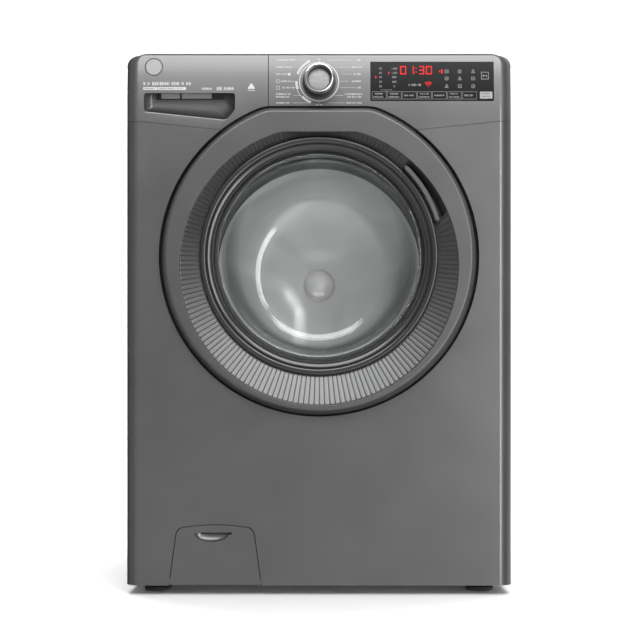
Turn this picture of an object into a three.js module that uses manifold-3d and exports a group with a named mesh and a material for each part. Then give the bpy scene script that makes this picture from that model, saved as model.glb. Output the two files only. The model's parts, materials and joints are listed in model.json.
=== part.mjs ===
// Front-loading washing machine, free-standing, 600 mm wide and 840 mm tall.
// Millimetres. +Z is up, the front faces -Y, and the origin is on the floor under the middle of the
// machine. Every piece is a separate closed solid, grouped the way the machine is assembled: cabinet,
// sprung tub, drum, door, detergent drawer and the small moving pieces.
import * as THREE from "three";
import { mergeVertices } from "three/addons/utils/BufferGeometryUtils.js";
import Module from "manifold-3d";

const wasm = await Module();
wasm.setup();

// ---- Driving dimensions -------------------------------------------------------------------------
const HALF_WIDTH = 300; // cabinet half width
const FOOT_HEIGHT = 15; // feet screwed fully in
const TOP = 840; // top of the worktop
const FRONT = -262; // outer face of the front panel
const REAR = 272; // outer face of the rear panel
const CORNER = 17; // radius of the front vertical edges and the top corners
const SHEET = 1.5; // steel panels
const GAP = 0.5; // gap between pieces that touch

const SEAM_SIDE = 735.5; // height of the fascia seam at the cabinet's sides
const SEAM_INNER = 721; // and where it meets the door recess
const SEAM_INNER_X = 152;
const FASCIA_WALL = 3;
const FASCIA_BACK = -244.5;
const FASCIA_LEAN = 6; // how far the fascia's curved face leans back at its top
const SIDE_FRONT = -225.5; // where the front pieces meet the side panels
const DRAWER_SPLIT = -78.6; // vertical seam between drawer front and control panel

const DOOR_Z = 524.7; // axis of the door rings
const DOOR_RADIUS = 240;
const DOOR_FLAT = 226; // the door's top edge is cut flat at this height over its axis
const DOOR_FILLET = 50;
const DOOR_FRONT = -284;
const DOOR_BACK = -250;
const DISH_RADIUS = 248; // recess in the front panel that the door closes into
const DISH_FLAT = 233;
const DISH_FLOOR = -243;
const RING_RADIUS = 213.5; // outer edge of the ribbed ring, set lower than the door's axis
const RING_DROP = 16.7;
const RING_FLAT = 189;
const BEZEL_OUTER = 185;
const GLASS_RADIUS = 162;
const HINGE_X = -(DOOR_RADIUS - 10);
const HINGE_Y = DOOR_FRONT + 8;

const DRUM_Z = 508; // axis of drum, tub and porthole
const PORT_RADIUS = 172;
const DRUM_RADIUS = 246;
const TUB_RADIUS = 260;
const TUB_WALL = 4;
const TUB_FRONT = -195;
const TUB_SPLIT = -20;
const TUB_BACK = 166;
const PULLEY_RADIUS = 135;
const PULLEY_Y = [204, 222];
const MOTOR_X = 70;
const MOTOR_Z = 165;
const MOTOR_PULLEY_RADIUS = 10;

const HANDLE_TURN = 59; // the handle sits this far clockwise from the top of the door
const HANDLE_PIVOT = { rho: 186, y: -262 };
const RING_STEPS = 44; // points round the ribbed ring
const LOCK_RHO = 191; // radius of the latch from the door's axis

const KNOB_Z = 796;
const DISPLAY = { x0: 79.4, x1: 271, z0: 765.4, z1: 827.3 };
const START_KEY = { x0: 248.6, x1: 269, z0: 768.4, z1: 780.3 };
const TRAY = { x0: -285, x1: -150, z0: 746, z1: 811, y0: -238, y1: 20 };
const PUMP = { x: -160, z: 66 };
const DAMPER = { x: 165, y: 5 };
const SPRING = { x: 249, y: 62, z0: 637, z1: 788 };
const FEET = { x: 255, front: -205, back: 235 };
const FILL = { x: -215, y: -60, bore: 14 }; // spout under the detergent drawer's housing
const SUMP = { x: -130, y: -80 }; // outlet under the tub
const TUB_INLET = { x: -204, y: -68 };
const TUB_MOUTH = 168;
const HOSE_BORE = 13;
const SHAFT_RADIUS = 15;
const BEARING_OUTER = 29;
const HINGE_HALF = 25; // half height of the hinge's barrel
const PIN_RADIUS = 4;

// ---- Solids -------------------------------------------------------------------------------------
const rad = THREE.MathUtils.degToRad;
const at = (a, b) => new THREE.Vector2(a, b);

// A closed geometry as a solid. Faces that have shrunk to a line go, and a surface that faces
// inwards is turned round.
function solidOf(geometry) {
  const flat = geometry.index ? geometry.toNonIndexed() : geometry;
  const bare = new THREE.BufferGeometry();
  bare.setAttribute("position", flat.getAttribute("position"));
  const merged = mergeVertices(bare, 1e-3);
  const p = merged.attributes.position.array;
  const triangles = [];
  let volume = 0;
  for (let i = 0; i < merged.index.count; i += 3) {
    const [a, b, c] = merged.index.array.slice(i, i + 3);
    if (a === b || b === c || c === a) continue;
    triangles.push(a, b, c);
    const [u, v, w] = [a, b, c].map((k) => new THREE.Vector3().fromArray(p, 3 * k));
    volume += u.dot(v.cross(w));
  }
  if (volume < 0) triangles.reverse();
  const mesh = { numProp: 3, vertProperties: p, triVerts: new Uint32Array(triangles) };
  return new wasm.Manifold(new wasm.Mesh(mesh));
}

const join = (first, ...rest) => rest.reduce((whole, s) => whole.add(s), first);
const cut = (first, ...rest) => rest.reduce((whole, s) => whole.subtract(s), first);
const common = (first, ...rest) => rest.reduce((whole, s) => whole.intersect(s), first);

function geometryOf(solid) {
  const mesh = solid.getMesh();
  const geometry = new THREE.BufferGeometry();
  const count = mesh.vertProperties.length / mesh.numProp;
  const xyz = new Float32Array(count * 3);
  for (let i = 0; i < count; i++) {
    const start = i * mesh.numProp;
    xyz.set(mesh.vertProperties.subarray(start, start + 3), i * 3);
  }
  geometry.setAttribute("position", new THREE.BufferAttribute(xyz, 3));
  geometry.setIndex(new THREE.BufferAttribute(new Uint32Array(mesh.triVerts), 1));
  const shown = geometry.toNonIndexed();
  shown.computeVertexNormals();
  return shown;
}

function extrusion(points, depth) {
  return new THREE.ExtrudeGeometry(new THREE.Shape(points), { depth, bevelEnabled: false });
}

// An outline given as (x, z) from y0 to y1.
function alongY(points, y0, y1) {
  return solidOf(extrusion(points, y1 - y0).rotateX(Math.PI / 2).translate(0, y1, 0));
}

// An outline given as (y, z) from x0 to x1.
function alongX(points, x0, x1) {
  const [x, y, z] = [[1, 0, 0], [0, 1, 0], [0, 0, 1]].map((v) => new THREE.Vector3(...v));
  const turn = new THREE.Matrix4().makeBasis(y, z, x);
  return solidOf(extrusion(points, x1 - x0).applyMatrix4(turn).translate(x0, 0, 0));
}

// An outline given as (x, y) from z0 to z1.
function alongZ(points, z0, z1) {
  return solidOf(extrusion(points, z1 - z0).translate(0, 0, z0));
}

function box(x0, x1, y0, y1, z0, z1) {
  const geometry = new THREE.BoxGeometry(x1 - x0, y1 - y0, z1 - z0);
  return solidOf(geometry.translate((x0 + x1) / 2, (y0 + y1) / 2, (z0 + z1) / 2));
}

// A profile of [radius, y] pairs turned about a line along Y. It starts and ends on the axis, or
// is closed here into a ring.
function turnedY(profile, x = 0, z = 0, segments = 30) {
  const points = profile.map(([r, y]) => at(r, y));
  if (profile[0][0] > 0) points.push(points[0].clone());
  return solidOf(new THREE.LatheGeometry(points, segments).translate(x, 0, z));
}

// The same about a vertical line, with [radius, z] pairs.
function turnedZ(profile, x, y, segments = 14) {
  const points = profile.map(([r, z]) => at(r, z));
  if (profile[0][0] > 0) points.push(points[0].clone());
  const geometry = new THREE.LatheGeometry(points, segments).rotateX(Math.PI / 2);
  return solidOf(geometry.translate(x, y, 0));
}

const discY = (radius, y0, y1, x, z, segments = 14) =>
  turnedY([[0, y0], [radius, y0], [radius, y1], [0, y1]], x, z, segments);
const pinZ = (radius, z0, z1, x, y, segments = 14) =>
  turnedZ([[0, z0], [radius, z0], [radius, z1], [0, z1]], x, y, segments);
const ringY = (inner, outer, y0, y1, x, z, segments = 30) =>
  turnedY([[inner, y0], [outer, y0], [outer, y1], [inner, y1]], x, z, segments);
const ringZ = (inner, outer, z0, z1, x, y) =>
  turnedZ([[inner, z0], [outer, z0], [outer, z1], [inner, z1]], x, y);

function pinX(radius, x0, x1, y, z, segments = 14) {
  const geometry = new THREE.CylinderGeometry(radius, radius, x1 - x0, segments);
  return solidOf(geometry.rotateZ(Math.PI / 2).translate((x0 + x1) / 2, y, z));
}

// Points of an arc, angles in degrees, both ends included.
function arc(cx, cy, radius, from, to, steps) {
  return Array.from({ length: steps + 1 }, (_, i) => {
    const a = rad(from + ((to - from) * i) / steps);
    return at(cx + radius * Math.cos(a), cy + radius * Math.sin(a));
  });
}

// A circle whose top is cut flat, with the two corners rounded.
function flattenedCircle(radius, flat, fillet, cz, steps = 30) {
  const rise = flat - fillet;
  const reach = radius - fillet;
  const across = Math.sqrt(reach * reach - rise * rise);
  const angle = THREE.MathUtils.radToDeg(Math.atan2(rise, across));
  return [
    ...arc(0, cz, radius, 180 - angle, 360 + angle, steps),
    ...arc(across, cz + rise, fillet, angle, 90, 4).slice(1),
    ...arc(-across, cz + rise, fillet, 90, 180 - angle, 4).slice(0, -1),
  ];
}

// A solid through a row of equal rings of points, closed at both ends, or joined round into a
// ring of its own when looped.
function loft(rings, looped = false) {
  const n = rings[0].length;
  const faces = [];
  const triangle = (a, b, c) => faces.push(...a.toArray(), ...b.toArray(), ...c.toArray());
  for (let k = 0; k < rings.length - (looped ? 0 : 1); k++) {
    const next = rings[(k + 1) % rings.length];
    for (let i = 0; i < n; i++) {
      const j = (i + 1) % n;
      triangle(rings[k][i], rings[k][j], next[j]);
      triangle(rings[k][i], next[j], next[i]);
    }
  }
  for (const [ring, turned] of looped ? [] : [[rings[0], true], [rings.at(-1), false]]) {
    const middle = new THREE.Vector3();
    ring.forEach((p) => middle.addScaledVector(p, 1 / n));
    for (let i = 0; i < n; i++) {
      const [a, b] = turned ? [ring[(i + 1) % n], ring[i]] : [ring[i], ring[(i + 1) % n]];
      triangle(middle, a, b);
    }
  }
  const geometry = new THREE.BufferGeometry();
  geometry.setAttribute("position", new THREE.Float32BufferAttribute(faces, 3));
  return solidOf(geometry);
}

const inSpace = (points, y) => points.map((p) => new THREE.Vector3(p.x, y, p.y));
const circle = (cx, cz, radius, steps) => arc(cx, cz, radius, 0, 360, steps).slice(0, -1);

// A round bar or hose along a curve.
function alongCurve(curve, radius, sides, steps) {
  const section = new THREE.Shape(circle(0, 0, radius, sides));
  return solidOf(new THREE.ExtrudeGeometry(section, { steps, extrudePath: curve }));
}

const smooth = (points) =>
  new THREE.CatmullRomCurve3(points.map(([x, y, z]) => new THREE.Vector3(x, y, z)));

// ---- Materials and the scene graph --------------------------------------------------------------
const paint = (color, roughness, metalness) =>
  new THREE.MeshStandardMaterial({ color, roughness, metalness });
const MATERIAL = {
  graphite: paint(0x6a6b6c, 0.42, 0.5),
  graphitePlastic: paint(0x68696a, 0.4, 0.2),
  darkPlastic: paint(0x2c2c2c, 0.45, 0),
  blackGloss: paint(0x171717, 0.12, 0),
  chrome: paint(0xd8d8d8, 0.12, 1),
  steel: paint(0xb9bbbd, 0.3, 1),
  castAluminium: paint(0x9c9ea0, 0.55, 0.9),
  zincSteel: paint(0xa8acae, 0.5, 0.8),
  whitePlastic: paint(0xdcdcd8, 0.5, 0),
  greyPlastic: paint(0x9a9a98, 0.6, 0),
  concrete: paint(0x8f8c86, 0.95, 0),
  rubber: paint(0x555657, 0.8, 0),
  blackRubber: paint(0x1d1d1d, 0.85, 0),
  glass: paint(0xcfd6d6, 0.03, 0),
  board: paint(0x1f4a2c, 0.6, 0),
  silverKey: paint(0xc9c9c6, 0.35, 0.3),
};

function group(parent, x = 0, y = 0, z = 0) {
  const made = new THREE.Group();
  made.position.set(x, y, z);
  if (parent) parent.add(made);
  return made;
}

function add(parent, name, solid, material) {
  const mesh = new THREE.Mesh(geometryOf(solid), material);
  mesh.name = name;
  parent.add(mesh);
  return mesh;
}

const machine = group(null);
const cabinet = group(machine);
const tub = group(machine, 0, 0, DRUM_Z); // local z is measured from the drum's axis
const drum = group(tub);
const door = group(machine, 0, 0, DOOR_Z); // local z is measured from the door's axis
const handle = group(door); // modelled at the top of the door, then turned to its place
handle.rotation.y = rad(HANDLE_TURN);
const drawer = group(machine);

// Moves a solid modelled at the top of the door to the handle's place in the cabinet's frame.
function atHandle(solid) {
  return solidOf(geometryOf(solid).rotateY(rad(HANDLE_TURN)).translate(0, 0, DOOR_Z));
}

// ---- Cabinet ------------------------------------------------------------------------------------
// Worktop section: flat underneath, with rounded upper edges.
function topOutline() {
  const [x, z] = [HALF_WIDTH - CORNER, TOP - CORNER];
  return [
    at(-HALF_WIDTH, 818),
    at(HALF_WIDTH, 818),
    ...arc(x, z, CORNER, 0, 90, 6),
    ...arc(-x, z, CORNER, 90, 180, 6),
  ];
}

// Front view of the whole machine, in by inset all round.
function frontOutline(inset) {
  const [x, z, r] = [HALF_WIDTH - CORNER, TOP - CORNER, CORNER - inset];
  return [
    at(-HALF_WIDTH + inset, FOOT_HEIGHT),
    at(HALF_WIDTH - inset, FOOT_HEIGHT),
    ...arc(x, z, r, 0, 90, 6),
    ...arc(-x, z, r, 90, 180, 6),
  ];
}

// Plan view of the front, with rounded vertical edges.
function planOutline(inset, back) {
  const [x, y, r] = [HALF_WIDTH - CORNER, FRONT + CORNER, CORNER - inset];
  return [
    at(-HALF_WIDTH + inset, back),
    ...arc(-x, y, r, 180, 270, 6),
    ...arc(x, y, r, 270, 360, 6),
    at(HALF_WIDTH - inset, back),
  ];
}

// Side view of the fascia: upright at its seam, leaning back in a curve towards the top.
function sideOutline(inset, back) {
  const face = Array.from({ length: 7 }, (_, i) => {
    const t = i / 6;
    return at(FRONT + inset + FASCIA_LEAN * t * t, SEAM_SIDE + t * (TOP - 3 - SEAM_SIDE));
  });
  return [
    at(back, 690),
    at(FRONT + inset, 690),
    ...face,
    at(FRONT + FASCIA_LEAN + 2.5 + inset, TOP - inset),
    at(back, TOP - inset),
  ];
}

// Everything over the fascia's seam, raised by rise.
function overSeam(rise) {
  const far = HALF_WIDTH + 10;
  return [
    at(-far, SEAM_SIDE + rise),
    at(-HALF_WIDTH + CORNER, SEAM_SIDE - 1 + rise),
    at(-SEAM_INNER_X, SEAM_INNER + rise),
    at(SEAM_INNER_X, SEAM_INNER + rise),
    at(HALF_WIDTH - CORNER, SEAM_SIDE - 1 + rise),
    at(far, SEAM_SIDE + rise),
    at(far, TOP + 40),
    at(-far, TOP + 40),
  ];
}

const dishOutline = (grow) =>
  flattenedCircle(DISH_RADIUS + grow, DISH_FLAT + grow, DOOR_FILLET + grow, DOOR_Z);

// The filter flap's outline: a trapezium with a bowed top and rounded corners.
function flapOutline(grow) {
  const [x0, x1, z0] = [-232 - grow, -90 + grow, FOOT_HEIGHT + 1 - grow];
  return [
    at(x0, z0),
    at(x1, z0),
    ...arc(-114.5 + grow, 93 + grow, 15, 8, 78, 4),
    ...arc(-161, -170 + grow, 278.5, 81, 99, 6),
    ...arc(-207.5 - grow, 93 + grow, 15, 102, 172, 4),
  ];
}

function frontPanel() {
  const outer = alongZ(planOutline(0, SIDE_FRONT), FOOT_HEIGHT, SEAM_SIDE);
  const inner = alongZ(planOutline(SHEET, SIDE_FRONT + 9), FOOT_HEIGHT - 9, SEAM_SIDE + 9);
  const sheet = cut(
    outer,
    inner,
    alongY(overSeam(-GAP), -300, -200),
    alongY(dishOutline(0), -300, -200),
    alongY(flapOutline(1.2), -300, -255),
  );
  const wall = cut(
    alongY(dishOutline(SHEET), FRONT, DISH_FLOOR + SHEET),
    alongY(dishOutline(0), FRONT - 9, DISH_FLOOR),
    discY(PORT_RADIUS, -300, -200, 0, DRUM_Z, 30),
    alongY(overSeam(-GAP), -300, DISH_FLOOR - 1),
    atHandle(box(-9, 9, -300, -200, LOCK_RHO - 12, LOCK_RHO + 12)),
  );
  const collar = ringY(PORT_RADIUS, PORT_RADIUS + SHEET, DISH_FLOOR, -228, 0, DRUM_Z);
  return join(sheet, wall, collar);
}

// Fascia as one block, and the hollow behind its face.
function fasciaBlock(inset, back) {
  return common(
    alongY(frontOutline(inset), -300, -200),
    alongZ(planOutline(inset, back), 700, TOP + 20),
    alongX(sideOutline(inset, back), -HALF_WIDTH - 5, HALF_WIDTH + 5),
    alongY(overSeam(inset), -300, -200),
  );
}

// The fascia between x0 and x1, open at the back, with a wall at each end.
function fasciaShell(x0, x1) {
  const slice = (a, b) => box(a, b, -300, -200, 690, TOP + 30);
  const outer = common(
    cut(fasciaBlock(0, SIDE_FRONT), alongY(dishOutline(0), -300, -200)),
    slice(x0, x1),
  );
  const inner = common(
    cut(fasciaBlock(FASCIA_WALL, SIDE_FRONT + 20), alongY(dishOutline(FASCIA_WALL), -300, -200)),
    slice(x0 + FASCIA_WALL, x1 - FASCIA_WALL),
  );
  const side = HALF_WIDTH - 40;
  return cut(
    outer,
    inner,
    box(-side, side, FASCIA_BACK, -200, 690, TOP + 30),
    box(-HALF_WIDTH - 5, HALF_WIDTH + 5, FASCIA_BACK, -200, 817, TOP + 30),
  );
}

function controlPanel() {
  const { x0, x1, z0, z1 } = DISPLAY;
  const key = START_KEY;
  const backing = common(
    fasciaBlock(0, SIDE_FRONT),
    box(x0 - 3, x1 + 3, -300, -255.5, z0 - 3, z1 + 3),
  );
  return cut(
    join(fasciaShell(DRAWER_SPLIT + GAP, HALF_WIDTH + 5), backing),
    common(fasciaBlock(1.6, SIDE_FRONT), box(x0, x1, -300, -257.6, z0, z1)),
    box(x0, x1, -300, FRONT + 0.5, z0, z1),
    box(key.x0 + 5, key.x1 - 5, -300, -250, key.z0 + 3, key.z1 - 3),
    cut(box(x0, x1, -300, -200, z0, z1), fasciaBlock(1.8, SIDE_FRONT)),
    discY(5, -300, -200, 0, KNOB_Z),
  );
}

function displayWindow() {
  const { x0, x1, z0, z1 } = DISPLAY;
  const key = START_KEY;
  return cut(
    common(fasciaBlock(0, SIDE_FRONT), box(x0 + 0.3, x1 - 0.3, -300, -200, z0 + 0.3, z1 - 0.3)),
    fasciaBlock(1.4, SIDE_FRONT),
    box(key.x0, key.x1, -300, -200, key.z0, key.z1),
  );
}

function startKey() {
  const key = START_KEY;
  const cap = box(key.x0 + 0.4, key.x1 - 0.4, FRONT - 1.6, -259.6, key.z0 + 0.4, key.z1 - 0.4);
  const stem = box(key.x0 + 6, key.x1 - 6, -260, -252.5, key.z0 + 3.5, key.z1 - 3.5);
  return join(cap, stem);
}

// Circuit board with the switch that the programme knob turns.
function controlBoard() {
  return join(
    box(-30, 276, -249.5, -247.9, 768, 826),
    box(-9, 9, -256, -249, KNOB_Z - 9, KNOB_Z + 9),
    box(40, 66, -255, -249, 778, 812),
  );
}

function sidePanel(side) {
  const [x, wall] = [HALF_WIDTH, HALF_WIDTH - SHEET];
  const [y0, y1] = [SIDE_FRONT + GAP, REAR - 1];
  const section = [
    at(x, y0),
    at(x, y1),
    at(x - 22, y1),
    at(x - 22, y1 - SHEET),
    at(wall, y1 - SHEET),
    at(wall, y0 + SHEET),
    at(x - 8, y0 + SHEET),
    at(x - 8, y0),
  ];
  const panel = alongZ(section, FOOT_HEIGHT + GAP, 817.5);
  const { x: sx, y, z1 } = SPRING;
  const bracket = box(sx - 14, wall + 0.5, y - 12, y + 12, z1 + 0.5, z1 + 8);
  const whole = join(panel, bracket);
  return side > 0 ? whole : mirrored(whole);
}

// The same solid on the other side of the machine.
function mirrored(solid) {
  return solidOf(geometryOf(solid).scale(-1, 1, 1));
}

function rearPanel() {
  const edge = HALF_WIDTH - 3;
  return cut(
    box(-edge, edge, REAR - 0.7, REAR + 0.5, 45, 816),
    discY(168, 200, 300, 0, 470, 30),
    discY(14, 200, 300, -242, 777),
    discY(13, 200, 300, 235, 112),
    discY(8, 200, 300, 235, 785),
  );
}

function rearCover() {
  return turnedY([[0, 273], [186, 273], [186, 275], [172, 279], [0, 279]], 0, 470, 30);
}

function baseTray() {
  const edge = HALF_WIDTH - 9;
  const tray = cut(
    box(-edge, edge, -236, 262, FOOT_HEIGHT, 31),
    box(-edge + 3, edge - 3, -233, 259, FOOT_HEIGHT + 3, 40),
    box(-210, -110, -240, -60, FOOT_HEIGHT + 1.5, 40),
  );
  const bosses = footPlaces().map(([, x, y]) => pinZ(15, FOOT_HEIGHT, 46, x, y));
  const pads = [-1, 1].map((s) =>
    box(s * DAMPER.x - 20, s * DAMPER.x + 20, DAMPER.y - 20, DAMPER.y + 20, 16, 44),
  );
  const bores = footPlaces().map(([, x, y]) => pinZ(5.6, 0, 60, x, y));
  return cut(join(tray, ...bosses, ...pads), ...bores);
}

function footPlaces() {
  const { x, front, back } = FEET;
  return [
    ["foot_front_left", -x, front],
    ["foot_front_right", x, front],
    ["foot_rear_left", -x, back],
    ["foot_rear_right", x, back],
  ];
}

// Levelling foot: rubber pad, hexagon and threaded stud, screwed up into the base.
function foot(x, y) {
  const pad = turnedZ([[0, 0], [20, 0], [22, 2], [22, 7], [15, 10], [0, 10]], x, y, 16);
  const nut = pinZ(12, 9, FOOT_HEIGHT - GAP, x, y, 6);
  return join(pad, nut, pinZ(5, 12, 58, x, y));
}

function filterFlap() {
  const plate = alongY(flapOutline(0), FRONT, FRONT + 2.5);
  const cup = box(-186, -134, FRONT + 1, FRONT + 14, 81, 98);
  const hollow = box(-184, -136, FRONT - 1, FRONT + 12, 83, 96);
  const lip = box(-184, -136, FRONT, FRONT + 2.5, 91.5, 96);
  const ears = [-215, -107].map((x) => box(x - 5, x + 5, FRONT + 2, FRONT + 8, 17, 26));
  return join(cut(join(plate, cup, ...ears), hollow), lip);
}

// ---- Detergent drawer ---------------------------------------------------------------------------
// The finger recess in the drawer's front, larger by grow all round.
function recessOutline(grow) {
  return [
    at(-271 - grow, 748.6 - grow),
    at(-144 + grow, 736 - grow),
    at(-130.5 + grow, 751),
    at(-130.5 + grow, 778 + grow),
    at(-271 - grow, 778 + grow),
  ];
}

function drawerFront() {
  const shell = fasciaShell(-HALF_WIDTH - 5, DRAWER_SPLIT - GAP);
  const cupSpace = alongY(recessOutline(2), FRONT + 1, -238.7);
  const hollow = alongY(recessOutline(0), -300, -240.7);
  const lip = box(-262, -140, FRONT + 1, -252, 772, 779);
  return join(cut(join(shell, cupSpace), hollow), lip);
}

function drawerTray() {
  const { x0, x1, y0, y1, z0, z1 } = TRAY;
  const wall = 2;
  const chamber = (a, b, c, d) => box(a, b, c, d, z0 + wall, z1 + 9);
  const middle = (x0 + x1) / 2;
  return cut(
    box(x0, x1, y0, y1, z0, z1),
    chamber(x0 + wall, middle - 26, y0 + wall, y1 - wall),
    chamber(middle - 24, middle + 24, y0 + wall, -60),
    chamber(middle - 24, middle + 24, -58, y1 - wall),
    chamber(middle + 26, x1 - wall, y0 + wall, y1 - wall),
  );
}

function drawerHousing() {
  const { x0, x1, z0 } = TRAY;
  const shell = cut(
    box(x0 - 4, x1 + 4, -234, 36, z0 - 3, 817),
    box(x0 - 2, x1 + 2, -240, 34, z0 - 1, 815),
  );
  const { x, y, bore } = FILL;
  const spout = ringZ(bore, bore + 4, 732, z0 - 2, x, y);
  return cut(join(shell, spout), pinZ(bore, 700, z0, x, y));
}

// ---- Water path ---------------------------------------------------------------------------------
function inletValve() {
  return join(
    box(-262, -222, 232, 266, 757, 799),
    discY(11, 265, 290, -242, 777),
    discY(13, 276, 288, -242, 777),
    discY(7, 214, 233, -242, 790, 16),
  );
}

function pumpBody() {
  const { x, z } = PUMP;
  const barrel = ringY(28, 31.5, -232, -124, x, z, 18);
  const motor = join(discY(34, -124, -112, x, z), discY(26, -113, -64, x, z));
  const feet = box(x - 30, x + 30, -200, -140, 18.5, z - 30);
  const inlet = pinZ(17, z + 25, 112, x, -170);
  const inside = discY(28, -240, -124, x, z, 18);
  return cut(join(barrel, motor, feet, inlet), inside, pinZ(14, z, 120, x, -170));
}

function filterCap() {
  const { x, z } = PUMP;
  return join(
    discY(31, -242, -233, x, z, 32),
    discY(26.5, -234, -150, x, z, 24),
    box(x - 22, x + 22, -247, -241, z - 4, z + 4),
  );
}

const tubSpace = () => discY(TUB_RADIUS + GAP, -250, 200, 0, DRUM_Z, 30);

function drainPipe() {
  const route = smooth([
    [-122, -116, 66], [-60, -112, 60], [60, -108, 56], [180, -90, 60], [238, 10, 75],
    [238, 170, 96], [235, 240, 112], [235, 288, 112],
  ]);
  return alongCurve(route, 11, 8, 22);
}

function sumpHose() {
  const { x, y } = SUMP;
  const route = smooth([
    [PUMP.x, -170, 113], [PUMP.x, -168, 150], [x - 2, y - 10, 215], [x, y, 292],
  ]);
  return cut(alongCurve(route, 16, 10, 8), tubSpace());
}

function fillHose() {
  const [start, end] = [FILL, TUB_INLET];
  const route = smooth([
    [start.x, start.y, 731], [start.x, start.y, 712], [end.x - 2, end.y + 2, 690],
    [end.x, end.y, 660],
  ]);
  return cut(alongCurve(route, 17, 10, 5), tubSpace());
}

// ---- Suspension ---------------------------------------------------------------------------------
class Helix extends THREE.Curve {
  constructor(x, y, z0, z1, radius, turns) {
    super();
    Object.assign(this, { x, y, z0, z1, radius, turns });
  }
  getPoint(t) {
    const a = 2 * Math.PI * this.turns * t;
    return new THREE.Vector3(
      this.x + this.radius * Math.cos(a),
      this.y + this.radius * Math.sin(a),
      this.z0 + (this.z1 - this.z0) * t,
    );
  }
}

function spring(side) {
  const { x, y, z0, z1 } = SPRING;
  return alongCurve(new Helix(side * x, y, z0 + 2.5, z1 - 2, 10, 8), 1.7, 4, 56);
}

function damperCylinder(side) {
  const profile = [[0, 44.5], [14, 44.5], [14, 200], [8, 200], [8, 196], [11, 196], [11, 60], [0, 60]];
  return turnedZ(profile, side * DAMPER.x, DAMPER.y, 14);
}

function damperRod(side) {
  const profile = [[0, 110], [10, 110], [10, 122], [7, 122], [7, 283], [0, 283]];
  return turnedZ(profile, side * DAMPER.x, DAMPER.y, 14);
}

// ---- Tub, heights measured from the drum's axis --------------------------------------------------
function tubFront() {
  const [r, w, y0, mouth] = [TUB_RADIUS, TUB_WALL, TUB_FRONT, TUB_MOUTH];
  const shell = turnedY([
    [mouth, y0 - 8], [mouth + 4, y0 - 8], [mouth + 4, y0], [r, y0], [r, TUB_SPLIT - 7],
    [r + 6, TUB_SPLIT - 7], [r + 6, TUB_SPLIT - 0.6], [r - w, TUB_SPLIT - 0.6], [r - w, y0 + w],
    [mouth, y0 + w],
  ]);
  return cut(
    shell,
    pinZ(HOSE_BORE, -300, 0, SUMP.x, SUMP.y),
    pinZ(HOSE_BORE, 0, 300, TUB_INLET.x, TUB_INLET.y),
  );
}

function tubRear() {
  const [r, w, y1] = [TUB_RADIUS, TUB_WALL, TUB_BACK];
  const floor = y1 - w - 2;
  const seat = BEARING_OUTER + 0.6;
  const hubEnd = 197;
  const shell = turnedY([
    [seat, floor], [r - w, floor], [r - w, TUB_SPLIT], [r + 6, TUB_SPLIT],
    [r + 6, TUB_SPLIT + 7], [r, TUB_SPLIT + 7], [r, y1], [52, y1], [44, hubEnd], [seat, hubEnd],
  ]);
  const pocket = box(-62, 62, 0, 150, -(r + 22), -(r - 14));
  const pocketSpace = box(-58, 58, 4, 146, -(r + 18), -(r - 30));
  const lugs = [
    ...[72, 134].map((y) => box(MOTOR_X - 8, MOTOR_X + 26, y, y + 18, -282.5, -238)),
    ...[-1, 1].map((s) =>
      box(s * DAMPER.x - 14, s * DAMPER.x + 14, DAMPER.y - 12, DAMPER.y + 12, -224.5, -196),
    ),
    ...[-28, -SPRING.x * 2 - 9].map((x) =>
      box(SPRING.x + x, SPRING.x + x + 37, SPRING.y - 11, SPRING.y + 11, 114, 128),
    ),
  ];
  const outside = cut(join(pocket, ...lugs), discY(r - w, TUB_SPLIT - 1, floor, 0, 0));
  const heaterSlot = box(-34, 34, 140, 160, -(r + 13), -(r + 1));
  return cut(join(shell, outside), pocketSpace, heaterSlot);
}

function heater() {
  const z = -(TUB_RADIUS + 7);
  const side = (s) => [[s * 20, 151, z], [s * 20, 60, z], [s * 16, 30, z]];
  const loop = smooth([...side(-1), [0, 22, z], ...side(1).reverse()]);
  return join(alongCurve(loop, 3.6, 6, 20), box(-38, 38, 150.5, 155, z - 8, z + 5.5));
}

function counterweight() {
  const ring = ringY(184, 250, -217, TUB_FRONT - 1, 0, 0);
  const flatTop = box(-300, 300, -230, -190, 200, 300);
  return cut(ring, flatTop);
}

const bearing = (y0, y1) => ringY(SHAFT_RADIUS + 0.4, BEARING_OUTER, y0, y1, 0, 0, 18);

function drumShell() {
  const r = DRUM_RADIUS;
  return ringY(r - SHEET, r, -168, 139.7, 0, 0);
}

function drumFront() {
  const r = DRUM_RADIUS;
  return turnedY([
    [167, -180], [171, -184], [r - 6, -178], [r, -172], [r, -168.4], [r - 8, -168.4],
    [r - 12, -175], [171, -181],
  ]);
}

function drumBack() {
  const r = DRUM_RADIUS;
  return turnedY([
    [0, 124], [20, 126], [30, 138], [90, 138], [104, 130], [205, 130], [222, 140],
    [r, 140], [r, 142], [221, 142], [204, 132], [105, 132], [91, 140], [0, 140],
  ]);
}

// Lifter: a hollow ridge along the drum's wall, highest in the middle of its width.
function paddle(angle) {
  const base = DRUM_RADIUS - SHEET - GAP - 3.5;
  const section = [at(-38, base), at(-16, base - 44), at(-8, base - 48), at(8, base - 48),
    at(16, base - 44), at(38, base)];
  const hollow = section.map((p) => at(p.x * 0.86, p.y + 4));
  const ridge = cut(alongY(section, -160, 122), alongY(hollow, -156, 118));
  return solidOf(geometryOf(ridge).rotateY(rad(angle)));
}

function spider() {
  const hub = discY(42, 143, 158, 0, 0, 24);
  const arms = [30, 150, 270].map((a) =>
    solidOf(geometryOf(box(-13, 13, 143.5, 153, 20, 236)).rotateY(rad(a))),
  );
  const shaft = discY(SHAFT_RADIUS, 150, 224, 0, 0, 24);
  return join(hub, ...arms, shaft);
}

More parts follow.
